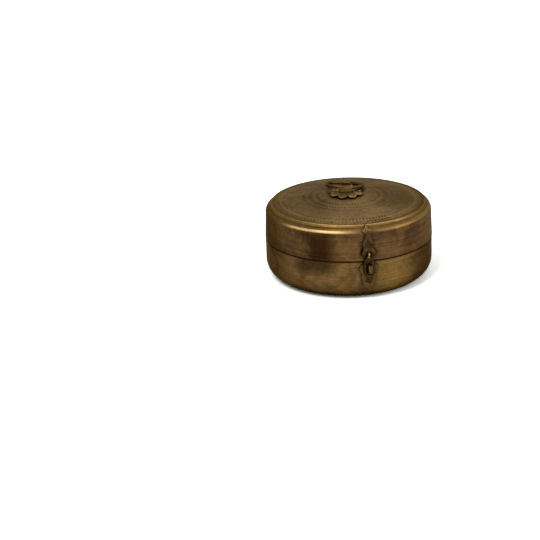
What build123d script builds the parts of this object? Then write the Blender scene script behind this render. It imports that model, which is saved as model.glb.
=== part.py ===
from build123d import *
import os
from math import acos, atan2, cos, degrees, hypot, radians, sin, sqrt

# Round brass chapati box with a hinged lid, hasp and staple, and a ring handle.
# Millimetres. The base stands on z = 0, the box's axis is Z and the hasp faces -Y.

# Body: one raised brass bowl
body_radius = 110.0
body_rim_height = 52.95
body_sheet = 1.4
rim_chamfer = 0.6

# Collar soldered inside the body's rim, which centres the lid
collar_sheet = 0.8
collar_drop = 8.5  # below the body's rim
collar_rise = 4.2  # above the body's rim
collar_clearance = 0.35

# Lid: a ring with a round shoulder, and a domed disc with a raised crest round its edge
lid_gap = 0.5  # between the two rims
lid_overhang = 0.3  # of the lid's rim past the body's
lid_sheet = 1.4
lid_wall_height = 34.05  # from the lid's rim up to the shoulder's arc
shoulder_radius = 9.4
shoulder_inset = 1.1  # how far the wall leans in by the shoulder
lid_flange_width = 4.8
disc_sheet = 1.2
disc_rise = 9.1
crest_place = 0.8  # outside the shoulder arc's centre
crest_rise = 2.4  # above the shoulder
crest_half_width = 0.9
cove_foot = 3.6  # where the cove under the crest ends, outside the arc's centre
cove_edge = 0.12
fit_gap = 0.05  # between pieces that are soldered or riveted together

# Turned rings on the disc: radius of each groove
groove_radii = (42.5, 47.5, 58.5, 82.0)
groove_depth = 0.25

# Plates on the front, and the leaves at the back
plate_sheet = 1.2
hasp_gap = 0.3  # between the closed hasp and what lies behind it

# Hasp hinge on the lid
hasp_pin_rise = 10.55  # above the lid's rim
hasp_pin_radius = 1.25
hasp_knuckle_radius = 2.8
lug_half_width = 8.3
lug_slot_half_width = 2.7
tongue_half_width = 1.5
pin_clearance = 0.08
pin_head = 0.6
lug_ramp_length = 7.5  # from the pin up to where the plate lifts off the wall
plate_neck_half_width = 3.7

# Hasp
hasp_sheet = 1.6
hasp_left = 6.6
hasp_right = 7.9
hasp_tail_length = 12.2  # below the slot
hasp_tail_shift = 1.9  # the tail points a little to the right
hasp_slot_width = 7.7
hasp_slot_shift = 0.4
slot_above_staple = 1.7
slot_below_staple = 2.7

# Staple and its plate
staple_width = 4.8
staple_shift = 1.0
staple_sheet = 1.6
staple_drop = 2.95  # from the body's rim to the staple's top
staple_height = 11.8
staple_reach = 7.2  # in front of the closed hasp
staple_tail = 4.2
staple_corner = 4.0
staple_plate_drop = 1.75  # from the body's rim to the plate's top
staple_plate_length = 40.0
staple_plate_tip_shift = 1.6
staple_plate_left = 11.5
staple_plate_right = 12.2

# Rivets
copper_head_radius = 3.2
copper_head_rise = 1.7
flat_head_radius = 3.7
flat_head_rise = 0.7
small_head_radius = 2.8
small_head_rise = 0.25
leaf_head_radius = 3.0
leaf_head_rise = 1.2
rivet_shank_radius = 1.6
burr_radius = 3.3
burr_sheet = 0.8
burr_corner_gap = 0.2  # from the lowest burr down to the body's round bottom edge
tail_rise = 0.9
upper_rivet_angle = 39.0  # on the shoulder's arc, above the level
lower_rivet_rise = 13.6  # above the hasp's pin
staple_rivet_drop = 25.45  # below the body's rim
staple_rivet_offset = -1.6

# Lid hinge at the back
hinge_knuckles = 5
knuckle_length = 7.0
knuckle_gap = 0.2
knuckle_radius = 3.2
hinge_pin_radius = 1.5
hinge_pin_head_radius = 2.3
hinge_pin_head = 1.2
hinge_wall_gap = 0.5  # between the barrel and the lid's wall
knuckle_notch = 0.35
leaf_length = 30.0
leaf_tip_half_width = 5.0
leaf_rivet_spread = 11.0
leaf_near_rivet = 12.5  # from the seam
leaf_far_rivet = 22.5

# Rosette, eye and ring on top
rosette_petals = 8
petal_radius = 6.1
petal_centre_radius = 16.1
petal_edge = 1.5
petal_crown = 1.0
rosette_foot_radius = 13.5
rosette_foot = 1.6
rosette_lap = 0.4  # how far the foot reaches up between the petals
rosette_turn = -6.0
handle_turn = -9.0
handle_lean = 4.0  # the eye's right end is the lower one
handle_x = -2.5  # the handle was fixed a little off the lid's middle
handle_y = 0.4
eye_rise = 9.45  # above the disc's top
eye_half_width = 8.65
eye_wall = 1.1
eye_lip = 0.6
eye_lip_width = 2.9
strap_corner = 2.0
neck_width = 13.0
strap_sheet = 1.6
strap_tail = 7.5
washer_radius = 12.0
washer_sheet = 1.2
ring_radius = 23.7
ring_wire_radius = 2.35
ring_clearance = 0.3

# Worked-out places
body_corner = body_rim_height - staple_rivet_drop - burr_radius - burr_corner_gap
lid_rim_radius = body_radius + lid_overhang
lid_rim_height = body_rim_height + lid_gap
seam_height = body_rim_height + lid_gap / 2
shoulder_height = lid_rim_height + lid_wall_height
arc_radius_centre = lid_rim_radius - shoulder_inset - shoulder_radius
shoulder_top = shoulder_height + shoulder_radius
crest_radius = arc_radius_centre + crest_place
disc_edge_radius = crest_radius - crest_half_width
disc_edge_height = shoulder_top + crest_rise - crest_half_width / 2
dome_radius = (disc_edge_radius**2 + disc_rise**2) / (2 * disc_rise)
dome_top = disc_edge_height + disc_rise
dome_centre = dome_top - dome_radius
eye_height = dome_top + eye_rise
plate_face = fit_gap + plate_sheet
hasp_pin_height = lid_rim_height + hasp_pin_rise
staple_top = body_rim_height - staple_drop
staple_bottom = staple_top - staple_height
staple_plate_top = body_rim_height - staple_plate_drop
hasp_slot_top = staple_top + slot_above_staple
hasp_slot_bottom = staple_bottom - slot_below_staple
lid_pin_reach = lid_rim_radius + hasp_gap + hasp_knuckle_radius
hasp_back = body_radius + plate_face + hasp_gap
hasp_front = hasp_back + hasp_sheet
staple_front = hasp_front + staple_reach
hinge_reach = lid_rim_radius + hinge_wall_gap + knuckle_radius
knuckle_pitch = knuckle_length + knuckle_gap
leaf_half_width = (hinge_knuckles * knuckle_pitch - knuckle_gap) / 2
rosette_bottom = dome_top + fit_gap
rosette_plate = rosette_bottom + rosette_foot
eye_sagitta = ring_radius - sqrt(ring_radius**2 - eye_half_width**2)
eye_bore = ring_wire_radius + eye_sagitta / 2 + ring_clearance
ring_offset = ring_radius - eye_sagitta / 2
deep = 2 * body_radius  # long enough to pass right through the box


def dome_height(radius):
    """Height of the disc's upper face at this distance from the axis."""
    return dome_centre + sqrt(dome_radius**2 - radius**2)


def wall_radius(height):
    """Outside radius of the lid's leaning wall."""
    share = (height - lid_rim_height) / (shoulder_height - lid_rim_height)
    return lid_rim_radius - shoulder_inset * share


def on_handle(shape):
    """Turn a shape or a place of the handle's own frame to where the handle is on the lid."""
    return Pos(handle_x, handle_y, 0) * Rot(0, 0, handle_turn) * shape


def at_eye(shape):
    """Put a shape or a place of the eye's own frame, X along its bore, on the handle."""
    return on_handle(Pos(0, 0, eye_height) * Rot(0, handle_lean, 0) * shape)


def ring_room(tilt):
    """Room between the ring's wire and the disc when the ring hangs this far below level."""
    seat = Plane(at_eye(Rot(-tilt, 0, 0)))
    middle = seat.origin + seat.y_dir * ring_offset - Vector(0, 0, dome_centre)
    across = hypot(middle.dot(seat.x_dir), middle.dot(seat.y_dir))
    nearest = sqrt(middle.length**2 + ring_radius**2 - 2 * ring_radius * across)
    return nearest - dome_radius - ring_wire_radius


def ring_rest():
    """Tilt at which the ring comes down on the disc, found by halving."""
    low = 0.0
    high = 45.0
    while high - low > 0.001:
        tilt = (low + high) / 2
        if ring_room(tilt) > ring_clearance:
            low = tilt
        else:
            high = tilt
    return low


ring_tilt = ring_rest()


def turned(edges):
    """Solid turned about Z from a closed half section of (radius, height) edges."""
    return revolve(Plane.XZ * make_face(edges), Axis.Z)


def body_form(grow, top):
    """Body's filled outside form, moved out by grow and cut off level at top."""
    flat = body_radius - body_corner
    side = body_radius + grow
    return turned([
        Line((0, -grow), (flat, -grow)),
        CenterArc((flat, body_corner), body_corner + grow, -90, 90),
        Line((side, body_corner), (side, top)),
        Line((side, top), (0, top)),
        Line((0, top), (0, -grow)),
    ])


def lid_form(grow, bottom):
    """Lid ring's filled outside form, moved out by grow and cut off level at bottom."""
    top = shoulder_top + grow
    side = wall_radius(bottom) + grow
    shoulder_end = (arc_radius_centre + shoulder_radius + grow, shoulder_height)
    return turned([
        Line((0, bottom), (side, bottom)),
        Line((side, bottom), shoulder_end),
        CenterArc((arc_radius_centre, shoulder_height), shoulder_radius + grow, 0, 90),
        Line((arc_radius_centre, top), (0, top)),
        Line((0, top), (0, bottom)),
    ])


def tube(outer, inner, bottom, top):
    """Plain ring about Z."""
    height = top - bottom
    middle = (bottom + top) / 2
    return Pos(0, 0, middle) * (Cylinder(outer, height) - Cylinder(inner, height))


def both_sides(right_side):
    """Face from the edges of its right half, which start and end on the middle line."""
    left_side = [mirror(edge, about=Plane.YZ) for edge in right_side]
    return make_face(Curve() + right_side + left_side)


def at_front(face):
    """Block of the face's outline, reaching forwards from the box's axis."""
    return extrude(Plane.XZ * face, amount=deep)


def block(width, depth, height, x, y, z):
    """Box by its sizes and its centre."""
    return Pos(x, y, z) * Box(width, depth, height)


# Places of the rivets: a frame on the plate's face, with its Z pointing out of the wall
def wall_place(azimuth, radius, height, lean=0):
    """Frame on a wall that leans in by lean degrees; azimuth 0 is the front."""
    return Rot(0, 0, azimuth) * Pos(0, -radius, height) * Rot(90 - lean, 0, 0)


def shoulder_place(angle, grow):
    """Frame on the shoulder's arc at the front."""
    reach = shoulder_radius + grow
    y = -(arc_radius_centre + reach * cos(radians(angle)))
    z = shoulder_height + reach * sin(radians(angle))
    return Pos(0, y, z) * Rot(90 - angle, 0, 0)


def body_shell():
    shell = body_form(0, body_rim_height) - body_form(-body_sheet, body_rim_height + 1)
    rim = shell.edges().filter_by(GeomType.CIRCLE).group_by(Axis.Z)[-1].sort_by(SortBy.RADIUS)[-1]
    return chamfer(rim, rim_chamfer) - body_holes()


def body_collar():
    outer = lid_rim_radius - lid_sheet - collar_clearance
    bottom = body_rim_height - collar_drop
    return tube(outer, outer - collar_sheet, bottom, body_rim_height + collar_rise) - staple_slots()


def lid_wall():
    shell = lid_form(0, lid_rim_height) - lid_form(-lid_sheet, lid_rim_height - 1)
    rim = shell.edges().filter_by(GeomType.CIRCLE).group_by(Axis.Z)[0].sort_by(SortBy.RADIUS)[-1]
    shell = chamfer(rim, rim_chamfer)
    mouth = arc_radius_centre - lid_flange_width
    return shell - Pos(0, 0, shoulder_top) * Cylinder(mouth, 4 * lid_sheet) - lid_holes()


def shoulder_point(radius, grow):
    """Point on the shoulder's arc moved out by grow, at this distance from the axis."""
    reach = shoulder_radius + grow
    return (radius, shoulder_height + sqrt(reach**2 - (radius - arc_radius_centre) ** 2))


def crest_edges():
    """Crest and cove of the disc's edge, from inside outwards."""
    crest = (crest_radius, shoulder_top + crest_rise)
    inner = (disc_edge_radius, disc_edge_height)
    outer = (crest_radius + crest_half_width, disc_edge_height)
    foot = shoulder_point(arc_radius_centre + cove_foot, fit_gap + cove_edge)
    cove = ((outer[0] * 3 + foot[0]) / 4 - 0.1, (outer[1] + foot[1]) / 2 - 0.3)
    return [ThreePointArc(inner, crest, outer), ThreePointArc(outer, cove, foot)], inner, foot


def crest_form(grow):
    """Filled ring under the crest and its cove, moved out by grow."""
    edges, inner, foot = crest_edges()
    low = shoulder_height
    section = make_face(edges + [
        Line(foot, (foot[0], low)),
        Line((foot[0], low), (inner[0], low)),
        Line((inner[0], low), inner),
    ])
    return revolve(Plane.XZ * offset(section, grow), Axis.Z)


def lid_top_disc():
    under = disc_sheet
    half = disc_edge_radius / 2
    edges, inner, foot = crest_edges()
    foot_under = shoulder_point(foot[0], fit_gap)
    seat_middle = shoulder_point((foot[0] + arc_radius_centre) / 2, fit_gap)
    seat_end = (arc_radius_centre, shoulder_top + fit_gap)
    seat_lip = (disc_edge_radius - disc_sheet, shoulder_top + fit_gap)
    low = disc_edge_radius - 2 * disc_sheet
    under_edge = (low, dome_height(low) - under)
    disc = turned([
        Line((0, dome_top - under), (0, dome_top)),
        ThreePointArc((0, dome_top), (half, dome_height(half)), inner),
        *edges,
        Line(foot, foot_under),
        ThreePointArc(foot_under, seat_middle, seat_end),
        Line(seat_end, seat_lip),
        Line(seat_lip, under_edge),
        ThreePointArc(under_edge, (half, dome_height(half) - under), (0, dome_top - under)),
    ])
    for radius in groove_radii:
        disc -= Pos(0, 0, dome_height(radius) + groove_depth) * Torus(radius, 2 * groove_depth)
    return disc - on_handle(strap_slot())


def hasp_plate_outline():
    """Lower part of the lid's plate, seen from the front: lugs, belly and neck."""
    pin = hasp_pin_height
    wide = lug_half_width
    neck = plate_neck_half_width
    waist = (0.76 * wide, pin + lug_ramp_length)
    lug_end = pin + 0.45 * lug_ramp_length
    neck_start = shoulder_height + 0.05 * shoulder_radius
    neck_end = shoulder_height + 0.37 * shoulder_radius
    return both_sides([
        Line((0, pin - 0.36 * wide), (wide, pin - 0.36 * wide)),
        Line((wide, pin - 0.36 * wide), (wide, lug_end)),
        ThreePointArc((wide, lug_end), (0.81 * wide, pin + 0.69 * lug_ramp_length), waist),
        Spline(waist, (0.89 * wide, pin + lower_rivet_rise), (neck, neck_start),
               tangents=((0.1, 1), (0, 1))),
        Line((neck, neck_start), (neck, neck_end)),
        Line((neck, neck_end), (0, neck_end)),
    ])


def hasp_plate_head():
    """Upper part of the lid's plate, drawn flat on the shoulder: two barbs and a bent point."""
    def at(x, y):
        return (x * copper_head_radius, y * copper_head_radius)

    neck = plate_neck_half_width / copper_head_radius
    left_barb = at(-2.47, -0.69)
    right_barb = at(1.75, -0.62)
    tip = at(-0.78, 2.69)
    return make_face([
        Line(at(-neck, -2.69), at(neck, -2.69)),
        Line(at(neck, -2.69), at(neck, -2.0)),
        ThreePointArc(at(neck, -2.0), at(1.31, -1.22), right_barb),
        ThreePointArc(right_barb, at(0.75, 0.38), at(-0.09, 1.5)),
        Line(at(-0.09, 1.5), tip),
        ThreePointArc(tip, at(-1.13, 0.5), left_barb),
        ThreePointArc(left_barb, at(-1.5, -1.25), at(-neck, -2.0)),
        Line(at(-neck, -2.0), at(-neck, -2.69)),
    ])


def lug_ramp():
    """Side view of the plate lifting off the wall until it rolls round the hasp's pin."""
    top = hasp_pin_height + lug_ramp_length
    face_y = -(wall_radius(top) + plate_face)
    across = face_y + lid_pin_reach
    tangent = atan2(lug_ramp_length, across) + acos(hasp_knuckle_radius / hypot(across, lug_ramp_length))
    touch = (-lid_pin_reach + hasp_knuckle_radius * cos(tangent),
             hasp_pin_height + hasp_knuckle_radius * sin(tangent))
    back = face_y + plate_face
    face = make_face(Polyline((face_y, top), touch, (-lid_pin_reach, hasp_pin_height),
                              (back, hasp_pin_height), (back, top), close=True))
    return extrude(Plane.YZ * face, amount=lug_half_width, both=True)


def lid_hasp_plate():
    inside = lid_form(fit_gap, lid_rim_height - 1)
    layer = lid_form(plate_face, lid_rim_height) - inside
    outline = at_front(hasp_plate_outline())
    plate = layer & outline
    head_layer = (layer + crest_form(plate_face)) - inside - crest_form(fit_gap)
    plate += head_layer & (shoulder_place(45, 0) * extrude(hasp_plate_head(), amount=5, both=True))
    plate += (lug_ramp() & outline) - inside
    lugs = Pos(0, -lid_pin_reach, hasp_pin_height) * Rot(0, 90, 0) * Cylinder(
        hasp_knuckle_radius, 2 * lug_half_width)
    backing = block(2 * lug_half_width, hasp_knuckle_radius, 2 * hasp_knuckle_radius,
                    0, -lid_pin_reach + hasp_knuckle_radius / 2, hasp_pin_height)
    plate += (lugs + backing) - lid_form(fit_gap, lid_rim_height)
    swing = hasp_knuckle_radius + hasp_gap
    slot_height = swing + 4.0
    plate -= block(2 * lug_slot_half_width, 4 * swing, slot_height,
                   0, -lid_pin_reach, hasp_pin_height + swing - slot_height / 2)
    plate -= pin_bore(hasp_pin_radius, fit_gap, lug_half_width, lid_pin_reach, hasp_pin_height)
    return plate - lid_plate_rivet_holes()


def pin_bore(radius, clearance, half_length, reach, height):
    """Bore along X for a pin in front of the box."""
    return Pos(0, -reach, height) * Rot(0, 90, 0) * Cylinder(radius + clearance, 2 * half_length + 2)


def hasp_pin():
    head = pin_head
    length = 2 * lug_half_width + head
    pin = Rot(0, 90, 0) * Cylinder(hasp_pin_radius, length)
    for side in (-1, 1):
        x = side * (lug_half_width + fit_gap + head / 2)
        pin += Pos(x, 0, 0) * Rot(0, 90, 0) * Cylinder(1.4 * hasp_pin_radius, head)
    return Pos(0, -lid_pin_reach, hasp_pin_height) * pin


def hasp():
    tongue = tongue_half_width
    tail_height = hasp_slot_bottom - hasp_tail_length
    top = hasp_pin_height - 1.2 * hasp_knuckle_radius
    shoulder_half = 0.61 * hasp_slot_width
    shoulder = hasp_slot_top + 0.36 * hasp_tail_length
    bend = (shoulder + 2 * top) / 3 - 0.1
    widest = (hasp_slot_top + hasp_slot_bottom) / 2 + 0.25 * hasp_tail_length
    tail = (hasp_tail_shift, tail_height)
    outline = make_face([
        Line((-tongue, hasp_pin_height), (tongue, hasp_pin_height)),
        Line((tongue, hasp_pin_height), (tongue, top)),
        ThreePointArc((tongue, top), (1.5 * tongue, bend), (shoulder_half, shoulder)),
        Spline((shoulder_half, shoulder), (hasp_right, widest),
               (0.81 * hasp_right, hasp_slot_bottom + 0.06 * hasp_tail_length),
               (0.47 * hasp_right, tail_height + 0.49 * hasp_tail_length), tail),
        Spline(tail, (-0.23 * hasp_left, hasp_slot_bottom - 0.31 * hasp_tail_length),
               (-0.67 * hasp_left, hasp_slot_bottom + 0.12 * hasp_tail_length),
               (-hasp_left, widest + 0.12 * hasp_tail_length), (-shoulder_half, shoulder)),
        ThreePointArc((-shoulder_half, shoulder), (-1.5 * tongue, bend), (-tongue, top)),
        Line((-tongue, top), (-tongue, hasp_pin_height)),
    ])
    plate = Pos(0, -hasp_back, 0) * extrude(Plane.XZ * outline, amount=hasp_sheet)
    rolled = Pos(0, -lid_pin_reach, hasp_pin_height) * Rot(0, 90, 0)
    plate += rolled * Cylinder(hasp_knuckle_radius, 2 * tongue_half_width)
    slot_middle = (hasp_slot_top + hasp_slot_bottom) / 2
    slot_length = hasp_slot_top - hasp_slot_bottom
    slot = extrude(Plane.XZ * SlotOverall(slot_length, hasp_slot_width, rotation=90), amount=4 * hasp_sheet)
    plate -= Pos(hasp_slot_shift, -hasp_back + hasp_sheet, slot_middle) * slot
    return plate - pin_bore(hasp_pin_radius, pin_clearance, lug_half_width, lid_pin_reach, hasp_pin_height)


def staple_plate_side(side, wide):
    """One side of the staple plate's outline, from its top to its point, with three lobes."""
    def at(across, down):
        return (side * wide * across, staple_plate_top - staple_plate_length * down)

    tip = (staple_plate_tip_shift, staple_plate_top - staple_plate_length)
    near_tip = (staple_plate_tip_shift + side * wide / 6, tip[1] + 0.11 * staple_plate_length)
    return [
        Line(at(0, 0), at(0.48, 0)),
        ThreePointArc(at(0.48, 0), at(0.57, 0.03), at(0.67, 0.023)),
        ThreePointArc(at(0.67, 0.023), at(1, 0.145), at(0.79, 0.335)),
        ThreePointArc(at(0.79, 0.335), at(0.74, 0.36), at(0.8, 0.385)),
        ThreePointArc(at(0.8, 0.385), at(0.83, 0.49), at(0.72, 0.565)),
        ThreePointArc(at(0.72, 0.565), at(0.67, 0.585), at(0.72, 0.612)),
        ThreePointArc(at(0.72, 0.612), at(0.52, 0.79), near_tip),
        Line(near_tip, tip),
    ]


def staple_plate_outline():
    return make_face(staple_plate_side(1, staple_plate_right) + staple_plate_side(-1, staple_plate_left))


def staple_plate():
    layer = body_form(plate_face, body_rim_height) - body_form(fit_gap, body_rim_height + 1)
    return (layer & at_front(staple_plate_outline())) - staple_slots() - staple_rivet().hole


def staple_bow():
    """Side view of the staple's bow and its two legs."""
    back = staple_inside()
    outer_depth = staple_front - back
    inner_depth = outer_depth - staple_sheet
    height = staple_top - staple_bottom
    middle = (staple_top + staple_bottom) / 2
    bow = Pos(-(staple_front + back) / 2, middle) * Rectangle(outer_depth, height)
    bow = fillet(bow.vertices().group_by(Axis.X)[0], staple_corner)
    gap = Pos(-(back + inner_depth / 2), middle) * Rectangle(inner_depth, height - 2 * staple_sheet)
    gap = fillet(gap.vertices().group_by(Axis.X)[0], staple_corner - staple_sheet)
    return bow - gap


def staple_inside():
    """Distance of the tails' inner faces from the axis."""
    return lid_rim_radius - lid_sheet - collar_clearance - collar_sheet - fit_gap - staple_sheet


def staple():
    section = staple_bow()
    depth = staple_inside() + staple_sheet / 2
    wall = body_radius - body_sheet - fit_gap - staple_sheet / 2
    section += Pos(-depth, staple_top - (staple_tail + staple_sheet) / 2) * Rectangle(
        staple_sheet, staple_tail + staple_sheet)
    section += Pos(-wall, staple_bottom - staple_tail / 2 + staple_sheet / 2) * Rectangle(
        staple_sheet, staple_tail + staple_sheet)
    return Pos(staple_shift, 0, 0) * extrude(Plane.YZ * section, amount=staple_width / 2, both=True)


def staple_slots():
    """Clearance for the staple's two legs through the plate, the wall and the collar."""
    middle = (staple_inside() + staple_front) / 2
    slots = Part()
    for height in (staple_top - staple_sheet / 2, staple_bottom + staple_sheet / 2):
        slots += block(staple_width + 2 * fit_gap, staple_front - staple_inside(),
                       staple_sheet + 2 * fit_gap, staple_shift, -middle, height)
    return slots


class Rivet:
    """Rivet through a plate and a wall: its solid, its hole and the burr under its tail."""

    def __init__(self, place, head_radius, head_rise, grip, wall_curve, plate_form):
        sag = wall_curve - sqrt(wall_curve**2 - burr_radius**2)
        burr_top = -(grip + sag + fit_gap)
        burr_bottom = burr_top - burr_sheet
        ball = (head_radius**2 + head_rise**2) / (2 * head_rise)
        cap = Pos(0, 0, head_rise - ball) * Sphere(ball) & Pos(0, 0, head_rise) * Cylinder(
            head_radius, 4 * head_rise)
        shank_top = head_rise / 2
        shank_bottom = burr_bottom - tail_rise / 2
        shank = Pos(0, 0, (shank_top + shank_bottom) / 2) * Cylinder(
            rivet_shank_radius, shank_top - shank_bottom)
        tail = Pos(0, 0, burr_bottom - fit_gap - tail_rise / 2) * Cylinder(
            rivet_shank_radius + 0.6, tail_rise)
        hole = Cylinder(rivet_shank_radius + fit_gap, 8 * grip)
        burr = Pos(0, 0, (burr_top + burr_bottom) / 2) * Cylinder(burr_radius, burr_sheet)
        self.hole = place * hole
        self.solid = (place * cap - plate_form) + place * (shank + fillet(tail.edges(), tail_rise / 3))
        self.burr = place * burr - self.hole


def upper_rivet():
    return Rivet(shoulder_place(upper_rivet_angle, plate_face), copper_head_radius, copper_head_rise,
                 plate_face + lid_sheet, shoulder_radius - lid_sheet,
                 lid_form(plate_face + fit_gap, lid_rim_height))


def lid_rivet(azimuth, height, head_radius, rise):
    radius = wall_radius(height) + plate_face
    lean = degrees(atan2(shoulder_inset, shoulder_height - lid_rim_height))
    return Rivet(wall_place(azimuth, radius, height, lean), head_radius, rise, plate_face + lid_sheet,
                 lid_rim_radius - lid_sheet, lid_form(plate_face + fit_gap, lid_rim_height))


def body_rivet(azimuth, height, head_radius, rise):
    return Rivet(wall_place(azimuth, body_radius + plate_face, height), head_radius, rise,
                 plate_face + body_sheet, body_radius - body_sheet,
                 body_form(plate_face + fit_gap, body_rim_height))


def lower_rivet():
    return lid_rivet(0, hasp_pin_height + lower_rivet_rise, flat_head_radius, flat_head_rise)


def staple_rivet():
    azimuth = degrees(staple_rivet_offset / body_radius)
    return body_rivet(azimuth, body_rim_height - staple_rivet_drop, small_head_radius, small_head_rise)


def leaf_rivets(make, direction):
    """Three rivets of one leaf at the back: two near the seam and one near the tip."""
    spread = degrees(leaf_rivet_spread / body_radius)
    near = seam_height + direction * leaf_near_rivet
    far = seam_height + direction * leaf_far_rivet
    places = ((180 - spread, near), (180 + spread, near), (180, far))
    return [make(azimuth, height, leaf_head_radius, leaf_head_rise) for azimuth, height in places]


def lid_plate_rivet_holes():
    return upper_rivet().hole + lower_rivet().hole


def lid_holes():
    holes = lid_plate_rivet_holes()
    for rivet in leaf_rivets(lid_rivet, 1):
        holes += rivet.hole
    return holes


def body_holes():
    holes = staple_slots() + staple_rivet().hole
    for rivet in leaf_rivets(body_rivet, -1):
        holes += rivet.hole
    return holes


def knuckle_places(first):
    """Centres of one leaf's knuckles along X: every second one, from the first."""
    middle = (hinge_knuckles - 1) / 2
    return [(number - middle) * knuckle_pitch for number in range(first, hinge_knuckles, 2)]


def leaf_outline(direction):
    """Leaf seen from behind: straight at the seam, drawn in, and pointed at its end."""
    def at(x, distance):
        return (x, seam_height + direction * distance)

    start = lid_gap / 2
    wide = leaf_half_width
    tip = leaf_tip_half_width
    near = 1.08 * leaf_near_rivet
    neck = 0.82 * leaf_far_rivet
    tail = 0.89 * leaf_length
    return both_sides([
        Line(at(0, start), at(wide, start)),
        Line(at(wide, start), at(wide, 2.2 * knuckle_radius)),
        Spline(at(wide, 2.2 * knuckle_radius), at(0.83 * wide, near), at(tip, neck)),
        ThreePointArc(at(tip, neck), at(1.08 * tip, 1.04 * leaf_far_rivet), at(0.44 * tip, tail)),
        Line(at(0.44 * tip, tail), at(0, leaf_length)),
    ])


def leaf(direction, first, other, layer, wall, rivets, bore_gap):
    """Hinge leaf with its knuckles, built at the front and turned to the back."""
    sheet = layer & at_front(leaf_outline(direction))
    for x in knuckle_places(other):
        sheet -= Pos(x, -hinge_reach, seam_height) * Rot(0, 90, 0) * Cylinder(
            knuckle_radius + knuckle_notch, knuckle_length + 2 * knuckle_gap)
    for x in knuckle_places(first):
        knuckle = Pos(x, -hinge_reach, seam_height) * Rot(0, 90, 0) * Cylinder(
            knuckle_radius, knuckle_length)
        depth = 3 * knuckle_radius
        knuckle += block(knuckle_length, depth, knuckle_radius, x, -hinge_reach + depth / 2,
                         seam_height + direction * knuckle_radius / 2)
        sheet += knuckle - wall
    sheet -= Pos(0, -hinge_reach, seam_height) * Rot(0, 90, 0) * Cylinder(
        hinge_pin_radius + bore_gap, 3 * leaf_half_width)
    sheet = Rot(0, 0, 180) * sheet
    for rivet in rivets:
        sheet -= rivet.hole
    return sheet


def lid_hinge_leaf():
    low = lid_rim_height
    layer = lid_form(plate_face, low) - lid_form(fit_gap, low - 1)
    wall = lid_form(fit_gap, low - 2 * knuckle_radius)
    return leaf(1, 1, 0, layer, wall, leaf_rivets(lid_rivet, 1), pin_clearance)


def body_hinge_leaf():
    high = body_rim_height
    layer = body_form(plate_face, high) - body_form(fit_gap, high + 1)
    wall = body_form(fit_gap, high + 2 * knuckle_radius) + lid_form(hinge_wall_gap / 2, lid_rim_height)
    return leaf(-1, 0, 1, layer, wall, leaf_rivets(body_rivet, -1), fit_gap)


def hinge_pin():
    pin = Rot(0, 90, 0) * Cylinder(hinge_pin_radius, 2 * leaf_half_width + 1.0)
    for side in (-1, 1):
        x = side * (leaf_half_width + fit_gap + hinge_pin_head / 2)
        pin += Pos(x, 0, 0) * Rot(0, 90, 0) * Cylinder(hinge_pin_head_radius, hinge_pin_head)
    return Pos(0, hinge_reach, seam_height) * pin


def strap_slot():
    depth = 2 * strap_sheet + 2 * fit_gap
    return block(neck_width + 2 * fit_gap, depth, 2 * eye_rise, 0, 0, dome_top)


def petal():
    """Cushion-shaped petal, its flat back on z = 0."""
    top = petal_edge + petal_crown
    rim = petal_radius - 0.4
    ball = (rim**2 + petal_crown**2) / (2 * petal_crown)
    half_way = (rim / 2, top - ball + sqrt(ball**2 - rim**2 / 4))
    return turned([
        Line((0, 0), (rim, 0)),
        ThreePointArc((rim, 0), (petal_radius, petal_edge / 2), (rim, petal_edge)),
        ThreePointArc((rim, petal_edge), half_way, (0, top)),
        Line((0, top), (0, 0)),
    ])


def rosette():
    foot = rosette_foot + rosette_lap
    flower = Pos(0, 0, rosette_bottom + foot / 2) * Cylinder(rosette_foot_radius, foot)
    for number in range(rosette_petals):
        angle = 360 / rosette_petals * (number + 0.5)
        flower += Rot(0, 0, angle) * Pos(0, -petal_centre_radius, rosette_plate) * petal()
    return Pos(handle_x, handle_y, 0) * Rot(0, 0, rosette_turn) * flower - on_handle(strap_slot())


def ring_strap():
    middle = eye_bore + eye_wall
    end = middle + eye_lip
    flare = eye_half_width - eye_lip_width
    barrel = revolve(make_face([
        Line((-eye_half_width, 0), (-eye_half_width, end)),
        ThreePointArc((-eye_half_width, end), (-eye_half_width + eye_lip_width / 2, middle + eye_lip / 3),
                      (-flare, middle)),
        Line((-flare, middle), (flare, middle)),
        ThreePointArc((flare, middle), (eye_half_width - eye_lip_width / 2, middle + eye_lip / 3),
                      (eye_half_width, end)),
        Line((eye_half_width, end), (eye_half_width, 0)),
        Line((eye_half_width, 0), (-eye_half_width, 0)),
    ]), Axis.X)
    foot_top = rosette_plate + rosette_lap + fit_gap
    legs = Pos(0, (foot_top + eye_height) / 2) * Rectangle(2 * eye_half_width - 0.6, eye_height - foot_top)
    legs = fillet(legs.vertices().group_by(Axis.Y)[0], strap_corner)
    tail_top = strap_washer_top() - washer_sheet - fit_gap
    neck_top = foot_top + strap_sheet
    strap = extrude(Plane.XZ * legs, amount=middle, both=True)
    strap += block(neck_width, 2 * strap_sheet, neck_top - tail_top + strap_sheet, 0, 0,
                   (neck_top + tail_top - strap_sheet) / 2)
    strap += block(neck_width, 2 * strap_tail, strap_sheet, 0, 0, tail_top - strap_sheet / 2)
    bore = Rot(0, 90, 0) * Cylinder(eye_bore, 4 * eye_half_width)
    return on_handle(strap) + at_eye(barrel) - at_eye(bore)


def strap_washer_top():
    return dome_height(washer_radius + hypot(handle_x, handle_y)) - disc_sheet - fit_gap


def strap_washer():
    washer = Pos(0, 0, strap_washer_top() - washer_sheet / 2) * Cylinder(washer_radius, washer_sheet)
    return washer - on_handle(strap_slot())


def ring_handle():
    ring = Pos(0, ring_offset, 0) * Torus(ring_radius, ring_wire_radius)
    return at_eye(Rot(-ring_tilt, 0, 0) * ring)


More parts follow.
